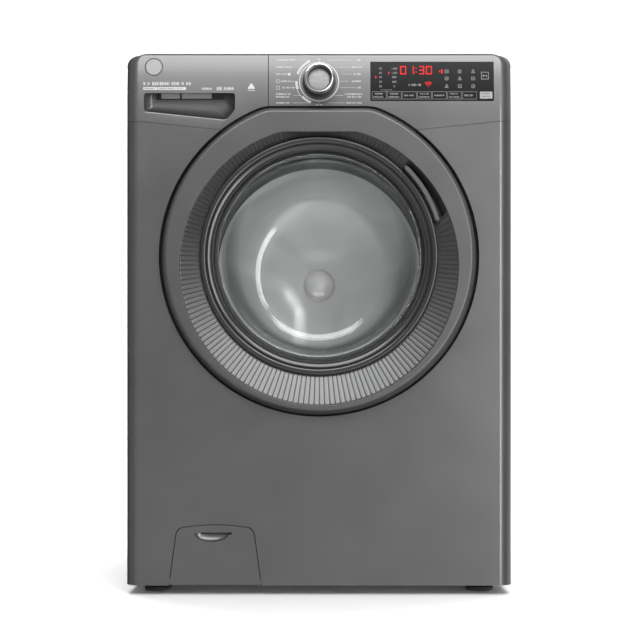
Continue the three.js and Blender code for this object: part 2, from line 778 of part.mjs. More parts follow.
function drumPulley() {
  const [r, bore] = [PULLEY_RADIUS, SHAFT_RADIUS + 0.4];
  const [y0, y1] = PULLEY_Y;
  const wheel = turnedY([
    [bore, y0 - 3], [26, y0 - 3], [26, y0 + 7], [r - 9, y0 + 7], [r - 9, y0], [r, y0], [r, y1],
    [r - 9, y1], [r - 9, y0 + 11], [bore, y0 + 11],
  ]);
  const holes = Array.from({ length: 5 }, (_, i) => {
    const a = rad(72 * i);
    return discY(32, 200, 230, 76 * Math.cos(a), 76 * Math.sin(a), 10);
  });
  return cut(wheel, ...holes);
}

// Belt round both pulleys: two arcs and the straight runs that touch them.
function beltOutline(grow) {
  const [r1, r2] = [PULLEY_RADIUS + grow, MOTOR_PULLEY_RADIUS + grow];
  const [dx, dz] = [MOTOR_X, MOTOR_Z - DRUM_Z];
  const along = THREE.MathUtils.radToDeg(Math.atan2(dz, dx));
  const lean = THREE.MathUtils.radToDeg(Math.acos((r1 - r2) / Math.hypot(dx, dz)));
  return [
    ...arc(0, 0, r1, along + lean, along - lean + 360, 28),
    ...arc(dx, dz, r2, along - lean, along + lean, 8),
  ];
}

function driveBelt() {
  const [y0, y1] = PULLEY_Y;
  return cut(
    alongY(beltOutline(3.2), y0 + 2, y1 - 2),
    alongY(beltOutline(0.5), y0 - 9, y1 + 9),
  );
}

function motorBody() {
  const [x, z] = [MOTOR_X, MOTOR_Z - DRUM_Z];
  const can = turnedY([
    [0, 62], [40, 62], [60, 70], [60, 176], [40, 190], [7, 190], [7, 170], [0, 170],
  ], x, z, 24);
  const lugs = [72, 134].map((y) => box(x - 8, x + 26, y, y + 18, z + 40, -283));
  const bore = discY(7, 168, 240, x, z, 16);
  return cut(join(can, ...lugs), bore);
}

function motorPulley() {
  const [x, z] = [MOTOR_X, MOTOR_Z - DRUM_Z];
  const [y0, y1] = PULLEY_Y;
  return join(
    discY(5.5, 172, y1, x, z, 16),
    discY(MOTOR_PULLEY_RADIUS, y0, y1, x, z, 24),
    discY(MOTOR_PULLEY_RADIUS + 2.5, y0 - 4, y0, x, z, 24),
  );
}

// ---- Door, heights measured from the door's axis -------------------------------------------------
const doorOutline = (grow) =>
  flattenedCircle(DOOR_RADIUS + grow, DOOR_FLAT + grow, DOOR_FILLET + grow, 0);

// Outer edge of the ribbed ring, flat on top like the door.
function ringOutline(grow) {
  const points = flattenedCircle(
    RING_RADIUS + grow, RING_FLAT + RING_DROP + grow, DOOR_FILLET, 0,
  );
  return points.map((p) => at(p.x, p.y - RING_DROP));
}

// Spaces in the door for the hinge's arm: at the pivot, and behind it as the door swings open.
function hingeSpaces() {
  const [x, y, half] = [HINGE_X, HINGE_Y, HINGE_HALF + 2];
  return [
    box(x - 5.4, x + 20, y - 5.4, y + 60, -half, half),
    box(x - 30, x + 1, y + 0.3, y + 60, -half, half),
    pinZ(PIN_RADIUS + 0.4, -HINGE_HALF - 14, HINGE_HALF + 14, x, y),
  ];
}

function doorFrame() {
  const edge = 7;
  const rounded = loft([
    inSpace(doorOutline(-edge), DOOR_FRONT),
    inSpace(doorOutline(-edge * 0.3), DOOR_FRONT + edge * 0.3),
    inSpace(doorOutline(0), DOOR_FRONT + edge),
    inSpace(doorOutline(0), DOOR_BACK),
  ]);
  const channel = cut(
    alongY(doorOutline(-3), DOOR_FRONT + 3, DOOR_BACK + 9),
    alongY(ringOutline(3), DOOR_FRONT, DOOR_BACK + 20),
  );
  const [x, y] = [HINGE_X, HINGE_Y];
  const block = box(x - 10, x + 17, y - 6, y + 12, -HINGE_HALF - 17, HINGE_HALF + 17);
  const whole = join(cut(rounded, channel), common(block, rounded));
  const middle = alongY(ringOutline(0), DOOR_FRONT - 9, DOOR_BACK + 9);
  return cut(whole, middle, ...hingeSpaces());
}

// Equally spaced points of a closed outline, starting at its right-hand side.
function spacedRound(points) {
  const outline = new THREE.Path(points.concat(points[0].clone()));
  const spaced = outline.getSpacedPoints(RING_STEPS).slice(0, -1);
  const angles = spaced.map((p) => Math.abs(Math.atan2(p.y, p.x)));
  const first = angles.indexOf(Math.min(...angles));
  return spaced.slice(first).concat(spaced.slice(0, first));
}

// The sloping ribbed ring between the frame and the bezel, with the handle's cup moulded in.
function ribbedRing() {
  const [front, inner, back, wall] = [DOOR_FRONT + 1.5, -267, -252, 2.5];
  const rim = spacedRound(ringOutline(-GAP));
  const rimInside = spacedRound(ringOutline(-GAP - wall));
  const mouth = circle(0, 0, BEZEL_OUTER + 0.6, RING_STEPS);
  const ring = loft([
    inSpace(rim, front), inSpace(mouth, inner), inSpace(mouth, inner + wall),
    inSpace(rimInside, front + wall), inSpace(rimInside, back), inSpace(rim, back),
  ], true);
  const [cup, hollow, slot] = [
    cupSpace(0), cupSpace(2), box(-6, 6, -256, -250, LOCK_RHO - 5, LOCK_RHO + 10),
  ].map((solid) => solidOf(geometryOf(solid).rotateY(rad(HANDLE_TURN))));
  const inside = alongY(ringOutline(-GAP), DOOR_FRONT, -240);
  const { y, rho } = HANDLE_PIVOT;
  const pinHoles = solidOf(geometryOf(pinX(2.4, -64, 64, y, rho, 12)).rotateY(rad(HANDLE_TURN)));
  return cut(
    join(ring, cut(common(cup, inside), discY(BEZEL_OUTER + 0.6, -300, -200, 0, 0, 30))),
    hollow,
    slot,
    pinHoles,
  );
}

// The block of the handle's cup at the top of the door, and with inset its hollow.
function cupSpace(inset) {
  const [inner, outer, half] = [BEZEL_OUTER, 224, 19];
  const trim = (inset / inner) * (180 / Math.PI);
  const sector = [
    ...arc(0, 0, outer, 90 - half + trim, 90 + half - trim, 12),
    ...arc(0, 0, inner - 3, 90 + half - trim, 90 - half + trim, 12),
  ];
  return alongY(sector, inset ? -300 : -278, inset ? -255 : -253);
}

// Groove profile of the dark bezel, from its outer edge inwards.
function bezel() {
  return turnedY([
    [BEZEL_OUTER, -255], [BEZEL_OUTER, -271], [182.5, -273.5], [175.4, -272], [174.6, -269.5],
    [173.4, -271.5], [160, -267], [154, -262.8], [165, -262], [165, -255],
  ]);
}

// Glass bowl: a flat flange, then a deep cup whose far end sits lower than its mouth.
function bowlRings(inset) {
  const rows = [
    [-262 - inset, 152 - inset, 0], [-225, 144 - inset, -5], [-175, 128 - inset, -16],
    [-161, 116 - inset, -20], [-155 - inset, 90 - inset, -20.7],
  ];
  return rows.map(([y, r, z]) => inSpace(circle(0, z, r, 30), y));
}

function glass() {
  const flange = discY(GLASS_RADIUS, -261.7, -255.2, 0, 0, 30);
  return cut(join(flange, loft(bowlRings(0))), loft(bowlRings(5)));
}

// Back ring of the door, which clamps the glass and closes the frame.
function innerFrame() {
  const plate = alongY(doorOutline(-8), DOOR_BACK + GAP, -247);
  const clamp = ringY(157, 182, -254.6, -249, 0, 0);
  const slot = solidOf(
    geometryOf(box(-7, 7, -300, -200, LOCK_RHO - 10, LOCK_RHO + 11)).rotateY(rad(HANDLE_TURN)),
  );
  return cut(
    join(plate, clamp),
    discY(156.5, -300, -200, 0, 0, 30),
    box(HINGE_X - 20, HINGE_X + 18, -300, -200, -HINGE_HALF - 3, HINGE_HALF + 3),
    slot,
  );
}

// Pull handle: a curved bar with a finger grip behind it and a pin at each end, modelled at the
// top of the door.
function doorHandle() {
  const half = 17;
  const sector = (inner, outer) => [
    ...arc(0, 0, outer, 90 - half, 90 + half, 8),
    ...arc(0, 0, inner, 90 + half, 90 - half, 8),
  ];
  const [y, z] = [HANDLE_PIVOT.y, HANDLE_PIVOT.rho];
  const pins = [-1, 1].map((s) => join(
    box(s * 47 - 3, s * 47 + 3, -271, y + 2, z - 4, z + 3),
    pinX(2, s * 54.5 - 9, s * 54.5 + 9, y, z, 12),
  ));
  return join(
    alongY(sector(187.5, 195.5), -281, -269),
    alongY(sector(187.5, 191), -270, -262),
    ...pins,
  );
}

// Hook behind the handle that the lock's slide catches.
function latchHook() {
  const rho = LOCK_RHO;
  return join(
    box(-4, 4, -261.6, -232, rho - 3, rho + 1),
    box(-4, 4, -237, -232, rho - 8, rho - 2),
  );
}

function doorLock() {
  const rho = LOCK_RHO;
  return atHandle(cut(
    box(-30, 22, DISH_FLOOR + SHEET + GAP, -221, rho - 14, rho + 26),
    box(-8.5, 8.5, -245, -224, rho - 11, rho + 12),
  ));
}

// Hinge fixed to the door recess: a plate, an arm that reaches round to the door's pivot, and the
// pin the door turns on.
function hingeBracket() {
  const [x, y, floor] = [HINGE_X, HINGE_Y, DISH_FLOOR - 0.3];
  const [z0, z1] = [DOOR_Z - HINGE_HALF, DOOR_Z + HINGE_HALF];
  const plate = box(x - 6, x + 40, floor - 2, floor, z0 - 7, z1 + 7);
  const arm = box(x + 13.5, x + 16, y - 2, floor, z0, z1);
  const reach = box(x, x + 15, y - 2, y + 2, z0, z1);
  const barrel = pinZ(PIN_RADIUS + 1, z0, z1, x, y);
  const pin = pinZ(PIN_RADIUS, z0 - 12.5, z1 + 12.5, x, y);
  return join(plate, arm, reach, barrel, pin);
}

// Door seal: a folded rubber sleeve from the porthole collar to the tub's mouth.
function doorSeal() {
  return turnedY([
    [165, -246.4], [170.5, -246.4], [170.5, -226.5], [178, -226.5], [178, -224], [168, -224],
    [168, -207], [176, -207], [176, -197.5], [172.6, -197.5], [172.6, -203.6], [165, -203.6],
    [160, -216],
  ], 0, DRUM_Z);
}

function knob() {
  const body = turnedY([
    [0, -284.5], [18, -287], [20, -290], [22.4, -289], [23.4, -263], [0, -263],
  ], 0, KNOB_Z, 28);
  return join(body, discY(3.2, -264, -257, 0, KNOB_Z, 16));
}

// ---- Assembly -----------------------------------------------------------------------------------
add(cabinet, "base_tray", baseTray(), MATERIAL.greyPlastic);
add(cabinet, "side_panel_left", sidePanel(-1), MATERIAL.graphite);
add(cabinet, "side_panel_right", sidePanel(1), MATERIAL.graphite);
add(cabinet, "rear_panel", rearPanel(), MATERIAL.zincSteel);
add(cabinet, "rear_cover", rearCover(), MATERIAL.zincSteel);
add(cabinet, "front_panel", frontPanel(), MATERIAL.graphite);
add(cabinet, "top_plate", alongY(topOutline(), FASCIA_BACK + GAP, 276), MATERIAL.graphitePlastic);
add(cabinet, "control_panel", controlPanel(), MATERIAL.graphitePlastic);
add(cabinet, "display_window", displayWindow(), MATERIAL.blackGloss);
add(cabinet, "control_board", controlBoard(), MATERIAL.board);
add(cabinet, "drawer_housing", drawerHousing(), MATERIAL.whitePlastic);
add(cabinet, "inlet_valve", inletValve(), MATERIAL.whitePlastic);
add(cabinet, "mains_gland", discY(7.6, 266, 284, 235, 785), MATERIAL.blackRubber);
add(cabinet, "pump_body", pumpBody(), MATERIAL.greyPlastic);
add(cabinet, "drain_pipe", drainPipe(), MATERIAL.greyPlastic);
add(cabinet, "sump_hose", sumpHose(), MATERIAL.blackRubber);
add(cabinet, "fill_hose", fillHose(), MATERIAL.blackRubber);
add(cabinet, "door_lock", doorLock(), MATERIAL.whitePlastic);
add(cabinet, "hinge_bracket", hingeBracket(), MATERIAL.zincSteel);
add(cabinet, "door_seal", doorSeal(), MATERIAL.rubber);
for (const [side, word] of [[-1, "left"], [1, "right"]]) {
  add(cabinet, "damper_cylinder_" + word, damperCylinder(side), MATERIAL.greyPlastic);
  add(cabinet, "spring_" + word, spring(side), MATERIAL.steel);
  const rod = add(tub, "damper_rod_" + word, damperRod(side), MATERIAL.steel);
  rod.position.z = -DRUM_Z;
}
for (const [name, x, y] of footPlaces()) add(machine, name, foot(x, y), MATERIAL.blackRubber);

add(tub, "tub_front", tubFront(), MATERIAL.whitePlastic);
add(tub, "tub_rear", tubRear(), MATERIAL.whitePlastic);
add(tub, "counterweight", counterweight(), MATERIAL.concrete);
add(tub, "heater", heater(), MATERIAL.steel);
add(tub, "bearing_front", bearing(166, 180), MATERIAL.steel);
add(tub, "bearing_rear", bearing(183, 196), MATERIAL.steel);
add(tub, "motor_body", motorBody(), MATERIAL.castAluminium);
add(tub, "drive_belt", driveBelt(), MATERIAL.blackRubber);
add(tub, "motor_pulley", motorPulley(), MATERIAL.steel);

add(drum, "drum_shell", drumShell(), MATERIAL.steel);
add(drum, "drum_front", drumFront(), MATERIAL.steel);
add(drum, "drum_back", drumBack(), MATERIAL.steel);
[60, 180, 300].forEach((a, i) => add(drum, "drum_paddle_" + (i + 1), paddle(a), MATERIAL.whitePlastic));
add(drum, "drum_spider", spider(), MATERIAL.castAluminium);
add(drum, "drum_pulley", drumPulley(), MATERIAL.castAluminium);

add(door, "door_frame", doorFrame(), MATERIAL.graphitePlastic);
add(door, "door_ribbed_ring", ribbedRing(), MATERIAL.graphitePlastic);
add(door, "door_bezel", bezel(), MATERIAL.blackGloss);
add(door, "door_glass", glass(), MATERIAL.glass);
add(door, "door_inner_frame", innerFrame(), MATERIAL.darkPlastic);
add(handle, "door_handle", doorHandle(), MATERIAL.graphitePlastic);
add(handle, "latch_hook", latchHook(), MATERIAL.zincSteel);

add(drawer, "drawer_front", drawerFront(), MATERIAL.graphitePlastic);
add(drawer, "drawer_tray", drawerTray(), MATERIAL.whitePlastic);
add(machine, "programme_knob", knob(), MATERIAL.chrome);
add(machine, "start_key", startKey(), MATERIAL.silverKey);
add(machine, "filter_flap", filterFlap(), MATERIAL.graphite);
add(machine, "filter_cap", filterCap(), MATERIAL.darkPlastic);

export default machine;
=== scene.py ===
import bmesh
import bpy
import json
import random
from math import atan2, cos, hypot, pi, radians, sin, sqrt
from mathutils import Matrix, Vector


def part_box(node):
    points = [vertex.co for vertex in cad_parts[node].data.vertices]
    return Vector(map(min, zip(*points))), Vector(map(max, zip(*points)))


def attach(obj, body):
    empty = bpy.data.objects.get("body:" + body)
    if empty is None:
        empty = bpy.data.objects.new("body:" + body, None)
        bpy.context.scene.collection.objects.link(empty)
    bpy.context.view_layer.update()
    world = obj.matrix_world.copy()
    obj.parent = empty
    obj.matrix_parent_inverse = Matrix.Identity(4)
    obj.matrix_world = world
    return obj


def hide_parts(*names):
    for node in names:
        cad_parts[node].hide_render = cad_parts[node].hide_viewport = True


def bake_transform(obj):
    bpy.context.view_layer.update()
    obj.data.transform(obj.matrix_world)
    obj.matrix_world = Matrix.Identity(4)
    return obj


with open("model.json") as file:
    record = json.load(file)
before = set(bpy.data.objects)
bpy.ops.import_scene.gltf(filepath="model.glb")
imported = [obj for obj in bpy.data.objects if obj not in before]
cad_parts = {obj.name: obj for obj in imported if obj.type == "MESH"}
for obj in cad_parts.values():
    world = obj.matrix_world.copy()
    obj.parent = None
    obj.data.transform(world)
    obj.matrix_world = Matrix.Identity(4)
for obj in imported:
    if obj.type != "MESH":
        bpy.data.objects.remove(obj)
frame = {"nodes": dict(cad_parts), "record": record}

MM = 0.001
AHEAD, BEHIND = -300, -200  # y clear in front of the front's sheet, and clear behind it
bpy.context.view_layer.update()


def box(node):
    """The CAD node's two corners, in millimetres."""
    low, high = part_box(node)
    return low / MM, high / MM


def middle(node):
    low, high = box(node)
    return (low + high) / 2


# ---- Driving dimensions ------------------------------------------------------------------------
HALF_WIDTH = box("front_panel")[1].x
FOOT_HEIGHT = box("front_panel")[0].z
TOP = box("top_plate")[1].z
FRONT = box("front_panel")[0].y
SIDE_FRONT = box("front_panel")[1].y
CORNER = 17  # radius of the two top corners seen from the front
EDGE = min(21, SIDE_FRONT - FRONT)  # radius of the front's upright edges
SHEET = 1.5
SEAM_SIDE = 735.5  # height of the fascia's seam at the cabinet's sides
SEAM_INNER = Vector((152, 721))  # where the seam meets the door's recess
FASCIA_LEAN = 6  # how far the fascia's face leans back at its top
FASCIA_NOSE = 3  # radius of its upper front edge
UNDER_SEAM = 690  # a height below the whole fascia
BOARD_FRONT = -244.5  # y of the space behind the fascia that the control boards need
DRAWER_SPLIT = (box("drawer_front")[1].x + box("control_panel")[0].x) / 2

DOOR_Z = middle("door_bezel").z
DOOR_RADIUS, DOOR_FLAT, DOOR_FILLET = 240, 226, 50
DOOR_FRONT = box("door_frame")[0].y
DOOR_BACK = box("door_frame")[1].y
DISH_RADIUS, DISH_FLAT = 248, 233
DISH_FLOOR = -243
RING_RADIUS, RING_DROP, RING_FLAT = 213.5, 16.7, 189
BEZEL_RADIUS = box("door_bezel")[1].x
GLASS_RADIUS = box("door_glass")[1].x
PORT_RADIUS, PORT_BACK = 172, -228
LATCH_REACH = 191  # from the door's axis to the latch
HANDLE_ANGLE = 31
DRUM_Z = middle("drum_shell").z
TUB_RADIUS = 260
DRUM_RADIUS = box("drum_shell")[1].x
KNOB_Z = middle("programme_knob").z
INLET_Z = 777


# ---- Materials ---------------------------------------------------------------------------------
class Nodes:
    """The node tree of a material or a world, built by short calls."""

    def __init__(self, owner):
        owner.use_nodes = True
        self.owner = owner
        self.tree = owner.node_tree
        self.shader = self.tree.nodes.get("Principled BSDF")
        self.place = self.add("ShaderNodeTexCoord").outputs

    def add(self, kind, **settings):
        node = self.tree.nodes.new(kind)
        for key, value in settings.items():
            if hasattr(node, key):
                setattr(node, key, value)
            else:
                node.inputs[key.replace("_", " ").title()].default_value = value
        return node

    def link(self, source, target):
        self.tree.links.new(source, target)

    def noise(self, scale, detail=3, stretch=None, roughness=0.5):
        node = self.add("ShaderNodeTexNoise", scale=scale, detail=detail, roughness=roughness)
        source = self.place["Object"]
        if stretch:
            mapping = self.add("ShaderNodeMapping")
            mapping.inputs["Scale"].default_value = stretch
            self.link(source, mapping.inputs["Vector"])
            source = mapping.outputs["Vector"]
        self.link(source, node.inputs["Vector"])
        return node.outputs["Fac"]

    def between(self, factor, low, high):
        """A number that runs from low to high with factor."""
        node = self.add("ShaderNodeMapRange")
        node.inputs["To Min"].default_value = low
        node.inputs["To Max"].default_value = high
        self.link(factor, node.inputs["Value"])
        return node.outputs["Result"]

    def colours(self, factor, *stops):
        ramp = self.add("ShaderNodeValToRGB")
        elements = ramp.color_ramp.elements
        while len(elements) < len(stops):
            elements.new(0.5)
        for element, (position, colour) in zip(elements, stops):
            element.position = position
            element.color = (*colour, 1)
        self.link(factor, ramp.inputs["Fac"])
        return ramp.outputs["Color"]

    def maths(self, operation, *values):
        node = self.add("ShaderNodeMath", operation=operation)
        for socket, value in zip(node.inputs, values):
            if isinstance(value, (int, float)):
                socket.default_value = value
            else:
                self.link(value, socket)
        return node.outputs["Value"]

    def bump(self, height, strength, distance):
        node = self.add("ShaderNodeBump", strength=strength, distance=distance)
        self.link(height, node.inputs["Height"])
        if self.shader.inputs["Normal"].is_linked:
            self.link(self.shader.inputs["Normal"].links[0].from_socket, node.inputs["Normal"])
        self.link(node.outputs["Normal"], self.shader.inputs["Normal"])

    def set(self, **sockets):
        for key, value in sockets.items():
            self.shader.inputs[key.replace("_", " ")].default_value = value


def material(name):
    return Nodes(bpy.data.materials.new(name))


def shade(colour, factor):
    return tuple(channel * factor for channel in colour)


def surface(name, colour, roughness, metallic=0.0, blotch=0.12, grain=900, bump=0.15, coat=0.0,
            specular=0.5):
    """A sprayed, moulded or cast surface: slow blotches of colour and gloss, and a fine grain."""
    n = material(name)
    slow = n.noise(14, 4)
    fine = n.noise(grain, 2)
    stops = (0.3, shade(colour, 1 - blotch)), (0.7, shade(colour, 1 + blotch))
    n.link(n.colours(n.maths("ADD", n.maths("MULTIPLY", slow, 0.7), n.maths("MULTIPLY", fine, 0.3)),
                     *stops), n.shader.inputs["Base Color"])
    n.link(n.between(slow, roughness * 0.85, roughness * 1.15), n.shader.inputs["Roughness"])
    n.set(Metallic=metallic, Coat_Weight=coat, Coat_Roughness=0.12, Specular_IOR_Level=specular)
    n.bump(fine, bump, 0.0001)
    return n.owner


def brushed(name, colour, roughness, stretch, metallic=1.0):
    """Metal with fine parallel scratches, short along the axis where stretch is large."""
    n = material(name)
    lines = n.noise(60, 5, stretch=stretch, roughness=0.7)
    stops = (0.3, shade(colour, 0.82)), (0.7, shade(colour, 1.1))
    n.link(n.colours(lines, *stops), n.shader.inputs["Base Color"])
    n.link(n.between(lines, roughness * 0.7, roughness * 1.3), n.shader.inputs["Roughness"])
    n.set(Metallic=metallic)
    n.bump(lines, 0.12, 0.0002)
    return n.owner


def clear_glass():
    """Glass that lets light through straight and mirrors more at a glancing angle."""
    n = material("clear_glass")
    clear = n.add("ShaderNodeBsdfTransparent")
    n.set(Base_Color=(0.9, 0.92, 0.92, 1), Metallic=1.0)
    n.link(n.between(n.noise(6, 2), 0.01, 0.04), n.shader.inputs["Roughness"])
    glancing = n.add("ShaderNodeLayerWeight", blend=0.5).outputs["Facing"]
    n.link(n.colours(glancing, (0.0, (0.95, 0.955, 0.955)), (0.5, (0.86, 0.87, 0.87)),
                     (0.85, (0.34, 0.35, 0.35))), clear.inputs["Color"])
    mirrored = n.maths("ADD", n.maths("MULTIPLY", n.maths("POWER", glancing, 5), 0.7), 0.05)
    mix = n.add("ShaderNodeMixShader")
    n.link(mirrored, mix.inputs["Fac"])
    n.link(clear.outputs["BSDF"], mix.inputs[1])
    n.link(n.shader.outputs["BSDF"], mix.inputs[2])
    n.link(mix.outputs["Shader"], n.tree.nodes["Material Output"].inputs["Surface"])
    return n.owner


def glowing(name, colour, strength):
    """A lit mark behind the display glass."""
    n = material(name)
    n.link(n.colours(n.noise(500, 2), (0.2, shade(colour, 0.3)), (0.8, shade(colour, 0.4))),
           n.shader.inputs["Base Color"])
    n.set(Roughness=0.5, Specular_IOR_Level=0.1, Emission_Color=(*colour, 1),
          Emission_Strength=strength)
    return n.owner


GRAPHITE = (0.105, 0.106, 0.108)
M = {  # name, colour, roughness, metallic, blotch, grain, bump, coat, specular
    "paint": surface("graphite_paint", GRAPHITE, 0.33, 0.6, 0.06, 2600, 0.08, 0.5),
    "fascia": surface("graphite_plastic", GRAPHITE, 0.33, 0.55, 0.06, 2200, 0.08, 0.5),
    "ring": surface("graphite_ring", shade(GRAPHITE, 0.78), 0.38, 0.5, 0.06, 2200, 0.08, 0.15),
    "ribs": surface("graphite_ribs", GRAPHITE, 0.34, 0.8, 0.06, 2200, 0.08),
    "dark": surface("dark_plastic", (0.022, 0.022, 0.023), 0.42, 0.0, 0.2, 1500, 0.25),
    "bezel": surface("bezel_gloss", (0.03, 0.03, 0.031), 0.22, 0.35, 0.1, 900, 0.02, 0.25),
    "black": surface("display_gloss", (0.008, 0.008, 0.009), 0.26, 0.0, 0.1, 900, 0.01, 0.0, 0.12),
    "chrome": surface("chrome", (0.72, 0.72, 0.73), 0.1, 1.0, 0.04, 700, 0.02),
    "polished": surface("polished_steel", (0.72, 0.72, 0.72), 0.34, 0.72, 0.05, 500, 0.03),
    "hub": surface("hub_steel", (0.85, 0.85, 0.85), 0.25, 0.5, 0.04, 500, 0.02),
    "satin": brushed("satin_steel", (0.62, 0.62, 0.62), 0.3, (1, 1, 30)),
    "steel": brushed("drum_steel", (0.6, 0.6, 0.59), 0.26, (1, 12, 1)),
    "cast": surface("cast_aluminium", (0.42, 0.42, 0.43), 0.6, 0.9, 0.12, 260, 0.7),
    "zinc": surface("zinc_sheet", (0.5, 0.51, 0.52), 0.42, 0.85, 0.07, 120, 0.12),
    "white": surface("white_plastic", (0.72, 0.72, 0.7), 0.45, 0.0, 0.04, 1200, 0.15),
    "grey": surface("grey_plastic", (0.3, 0.3, 0.29), 0.55, 0.0, 0.1, 1000, 0.3),
    "concrete": surface("concrete", (0.34, 0.33, 0.31), 0.95, 0.0, 0.25, 90, 1.0),
    "seal": surface("seal_rubber", (0.1, 0.1, 0.1), 0.6, 0.0, 0.15, 700, 0.3),
    "rubber": surface("black_rubber", (0.018, 0.018, 0.018), 0.7, 0.0, 0.2, 500, 0.5),
    "board": surface("circuit_board", (0.02, 0.1, 0.035), 0.4, 0.0, 0.35, 300, 0.4),
    "silver": surface("silver_lacquer", (0.26, 0.26, 0.255), 0.4, 0.1, 0.05, 1500, 0.08),
    "print": surface("white_print", (0.5, 0.5, 0.49), 0.5, 0.0, 0.05, 1500, 0.1),
    "soft": surface("display_print", (0.25, 0.25, 0.25), 0.5, 0.0, 0.05, 1500, 0.1),
    # painted shade: a near-black copy for the ribs' grooves and the handle's cup
    "groove": surface("groove_shadow", (0.05, 0.05, 0.051), 0.45, 0.4, 0.1, 1500, 0.1),
    # painted shade: a darker copy of the graphite for the drawer's finger recess
    "recess": surface("recess_shadow", shade(GRAPHITE, 0.36), 0.42, 0.4, 0.06, 2200, 0.08),
    "bar": surface("handle_bar", (0.075, 0.075, 0.076), 0.38, 0.4, 0.06, 2200, 0.08, 0.1),
    "satin_face": brushed("satin_face", (0.34, 0.34, 0.34), 0.34, (1, 1, 14)),
    "smoked": surface("smoked_chrome", (0.16, 0.16, 0.165), 0.16, 1.0, 0.04, 700, 0.02),
    "glass": clear_glass(),
    "red": glowing("red_light", (0.75, 0.025, 0.02), 0.9),
}


# ---- Mesh helpers ------------------------------------------------------------------------------
def solid(name, points, faces, material, smooth=35):
    """A mesh object from points in millimetres, facing out, smooth below an angle."""
    mesh = bpy.data.meshes.new(name)
    mesh.from_pydata([Vector(p) * MM for p in points], [], faces)
    work = bmesh.new()
    work.from_mesh(mesh)
    bmesh.ops.remove_doubles(work, verts=work.verts, dist=1e-6)
    bmesh.ops.recalc_face_normals(work, faces=work.faces)
    work.to_mesh(mesh)
    work.free()
    mesh.materials.append(M[material])
    thing = bpy.data.objects.new(name, mesh)
    bpy.context.scene.collection.objects.link(thing)
    smoothed(thing, smooth)
    return thing


def smoothed(thing, angle):
    """Smooth shading, with edges sharp above an angle."""
    thing.data.shade_smooth()
    thing.data.set_sharp_from_angle(angle=radians(angle))


def skin(name, rows, material, looped=False, capped=False, smooth=35):
    """A surface through closed rows of points; looped joins the last row to the first."""
    n = len(rows[0])
    faces = []
    for k in range(len(rows) - (0 if looped else 1)):
        a, b = k * n, (k + 1) % len(rows) * n
        for i in range(n):
            j = (i + 1) % n
            faces.append((a + i, a + j, b + j, b + i))
    if capped:
        last = (len(rows) - 1) * n
        faces += [tuple(range(n))[::-1], tuple(range(last, last + n))]
    return solid(name, [p for row in rows for p in row], faces, material, smooth)


def turned(r, a, y, z, x=0):
    """The point at distance r and angle a from the line along Y through x, z."""
    return (x + r * cos(a), y, z + r * sin(a))


def quarter(steps):
    """The angles of a quarter turn, from zero on."""
    return [radians(90 * k / steps) for k in range(steps + 1)]


def lathe(name, profile, material, x=0, z=0, steps=128, smooth=35):
    """Profile points (radius, y) turned about a line along Y."""
    rows = [round_row(r, y, steps, z, x) for r, y in profile]
    return skin(name, rows, material, looped=profile[0][0] > 0, smooth=smooth)


def prism(name, outline, axis, low, high, material="paint", smooth=35):
    """An outline pushed along an axis: (x, z) along Y, (y, z) along X or (x, y) along Z."""
    def placed(p, t):
        return {"X": (t, p[0], p[1]), "Y": (p[0], t, p[1]), "Z": (p[0], p[1], t)}[axis]
    rows = [[placed(p, t) for p in outline] for t in (low, high)]
    return skin(name, rows, material, capped=True, smooth=smooth)


def block(name, low, high, material="paint"):
    outline = [(low[0], low[2]), (high[0], low[2]), (high[0], high[2]), (low[0], high[2])]
    return prism(name, outline, "Y", low[1], high[1], material)


def applied(thing):
    """The object with its modifiers turned into mesh."""
    bpy.context.view_layer.update()
    graph = bpy.context.evaluated_depsgraph_get()
    mesh = bpy.data.meshes.new_from_object(thing.evaluated_get(graph))
    thing.modifiers.clear()
    thing.data = mesh
    return thing


def carve(thing, operation, *tools):
    """Cuts, joins or intersects with the tools, which are used up."""
    for tool in tools:
        modifier = thing.modifiers.new("carve", "BOOLEAN")
        modifier.operation = operation
        modifier.solver = "EXACT"
        modifier.object = tool
    applied(thing)
    for tool in tools:
        bpy.data.objects.remove(tool)
    return thing


def cut(thing, *tools):
    return carve(thing, "DIFFERENCE", *tools)


def edged(thing, width, segments=3, angle=40):
    """Rounds the sharp edges, and shades flat faces flat."""
    bevel = thing.modifiers.new("edges", "BEVEL")
    bevel.width = width * MM
    bevel.segments = segments
    bevel.limit_method = "ANGLE"
    bevel.angle_limit = radians(angle)
    bevel.use_clamp_overlap = True
    bevel.miter_outer = "MITER_ARC"
    weighted = thing.modifiers.new("normals", "WEIGHTED_NORMAL")
    weighted.keep_sharp = True
    smoothed(thing, 40)
    return thing


def arc(cx, cz, radius, start, end, steps):
    """Points along an arc, both ends included."""
    angles = [radians(start + (end - start) * i / steps) for i in range(steps + 1)]
    return [(cx + radius * cos(a), cz + radius * sin(a)) for a in angles]


def finished(thing, body, slot, *nodes):
    """The piece rides on its body, in place of the CAD nodes."""
    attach(thing, body)
    if nodes:
        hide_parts(*nodes)
    return thing


def flexible(thing, node):
    """The piece stands for its CAD node, which is hidden; its placing is baked into its mesh."""
    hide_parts(node)
    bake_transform(thing)
    return thing


# ---- Outlines ----------------------------------------------------------------------------------
def rim(angle, radius, flat, fillet, drop=0.0):
    """Distance from the door's axis to a circle whose top is cut flat with rounded corners."""
    rise = flat + drop - fillet
    reach = radius - fillet
    across = sqrt(reach * reach - rise * rise)
    touch = radius / reach
    side = Vector((cos(angle), sin(angle)))
    mirrored = Vector((abs(side.x), side.y))
    low = atan2(rise * touch - drop, across * touch)
    high = atan2(flat, across)
    slope = atan2(mirrored.y, mirrored.x)
    if slope > high:
        return flat / mirrored.y
    centre, r = (Vector((0, -drop)), radius)
    if slope > low:
        centre, r = (Vector((across, rise - drop)), fillet)
    along = mirrored.dot(centre)
    return along + sqrt(r * r - centre.length_squared + along * along)


def door_rim(angle):
    return rim(angle, DOOR_RADIUS, DOOR_FLAT, DOOR_FILLET)


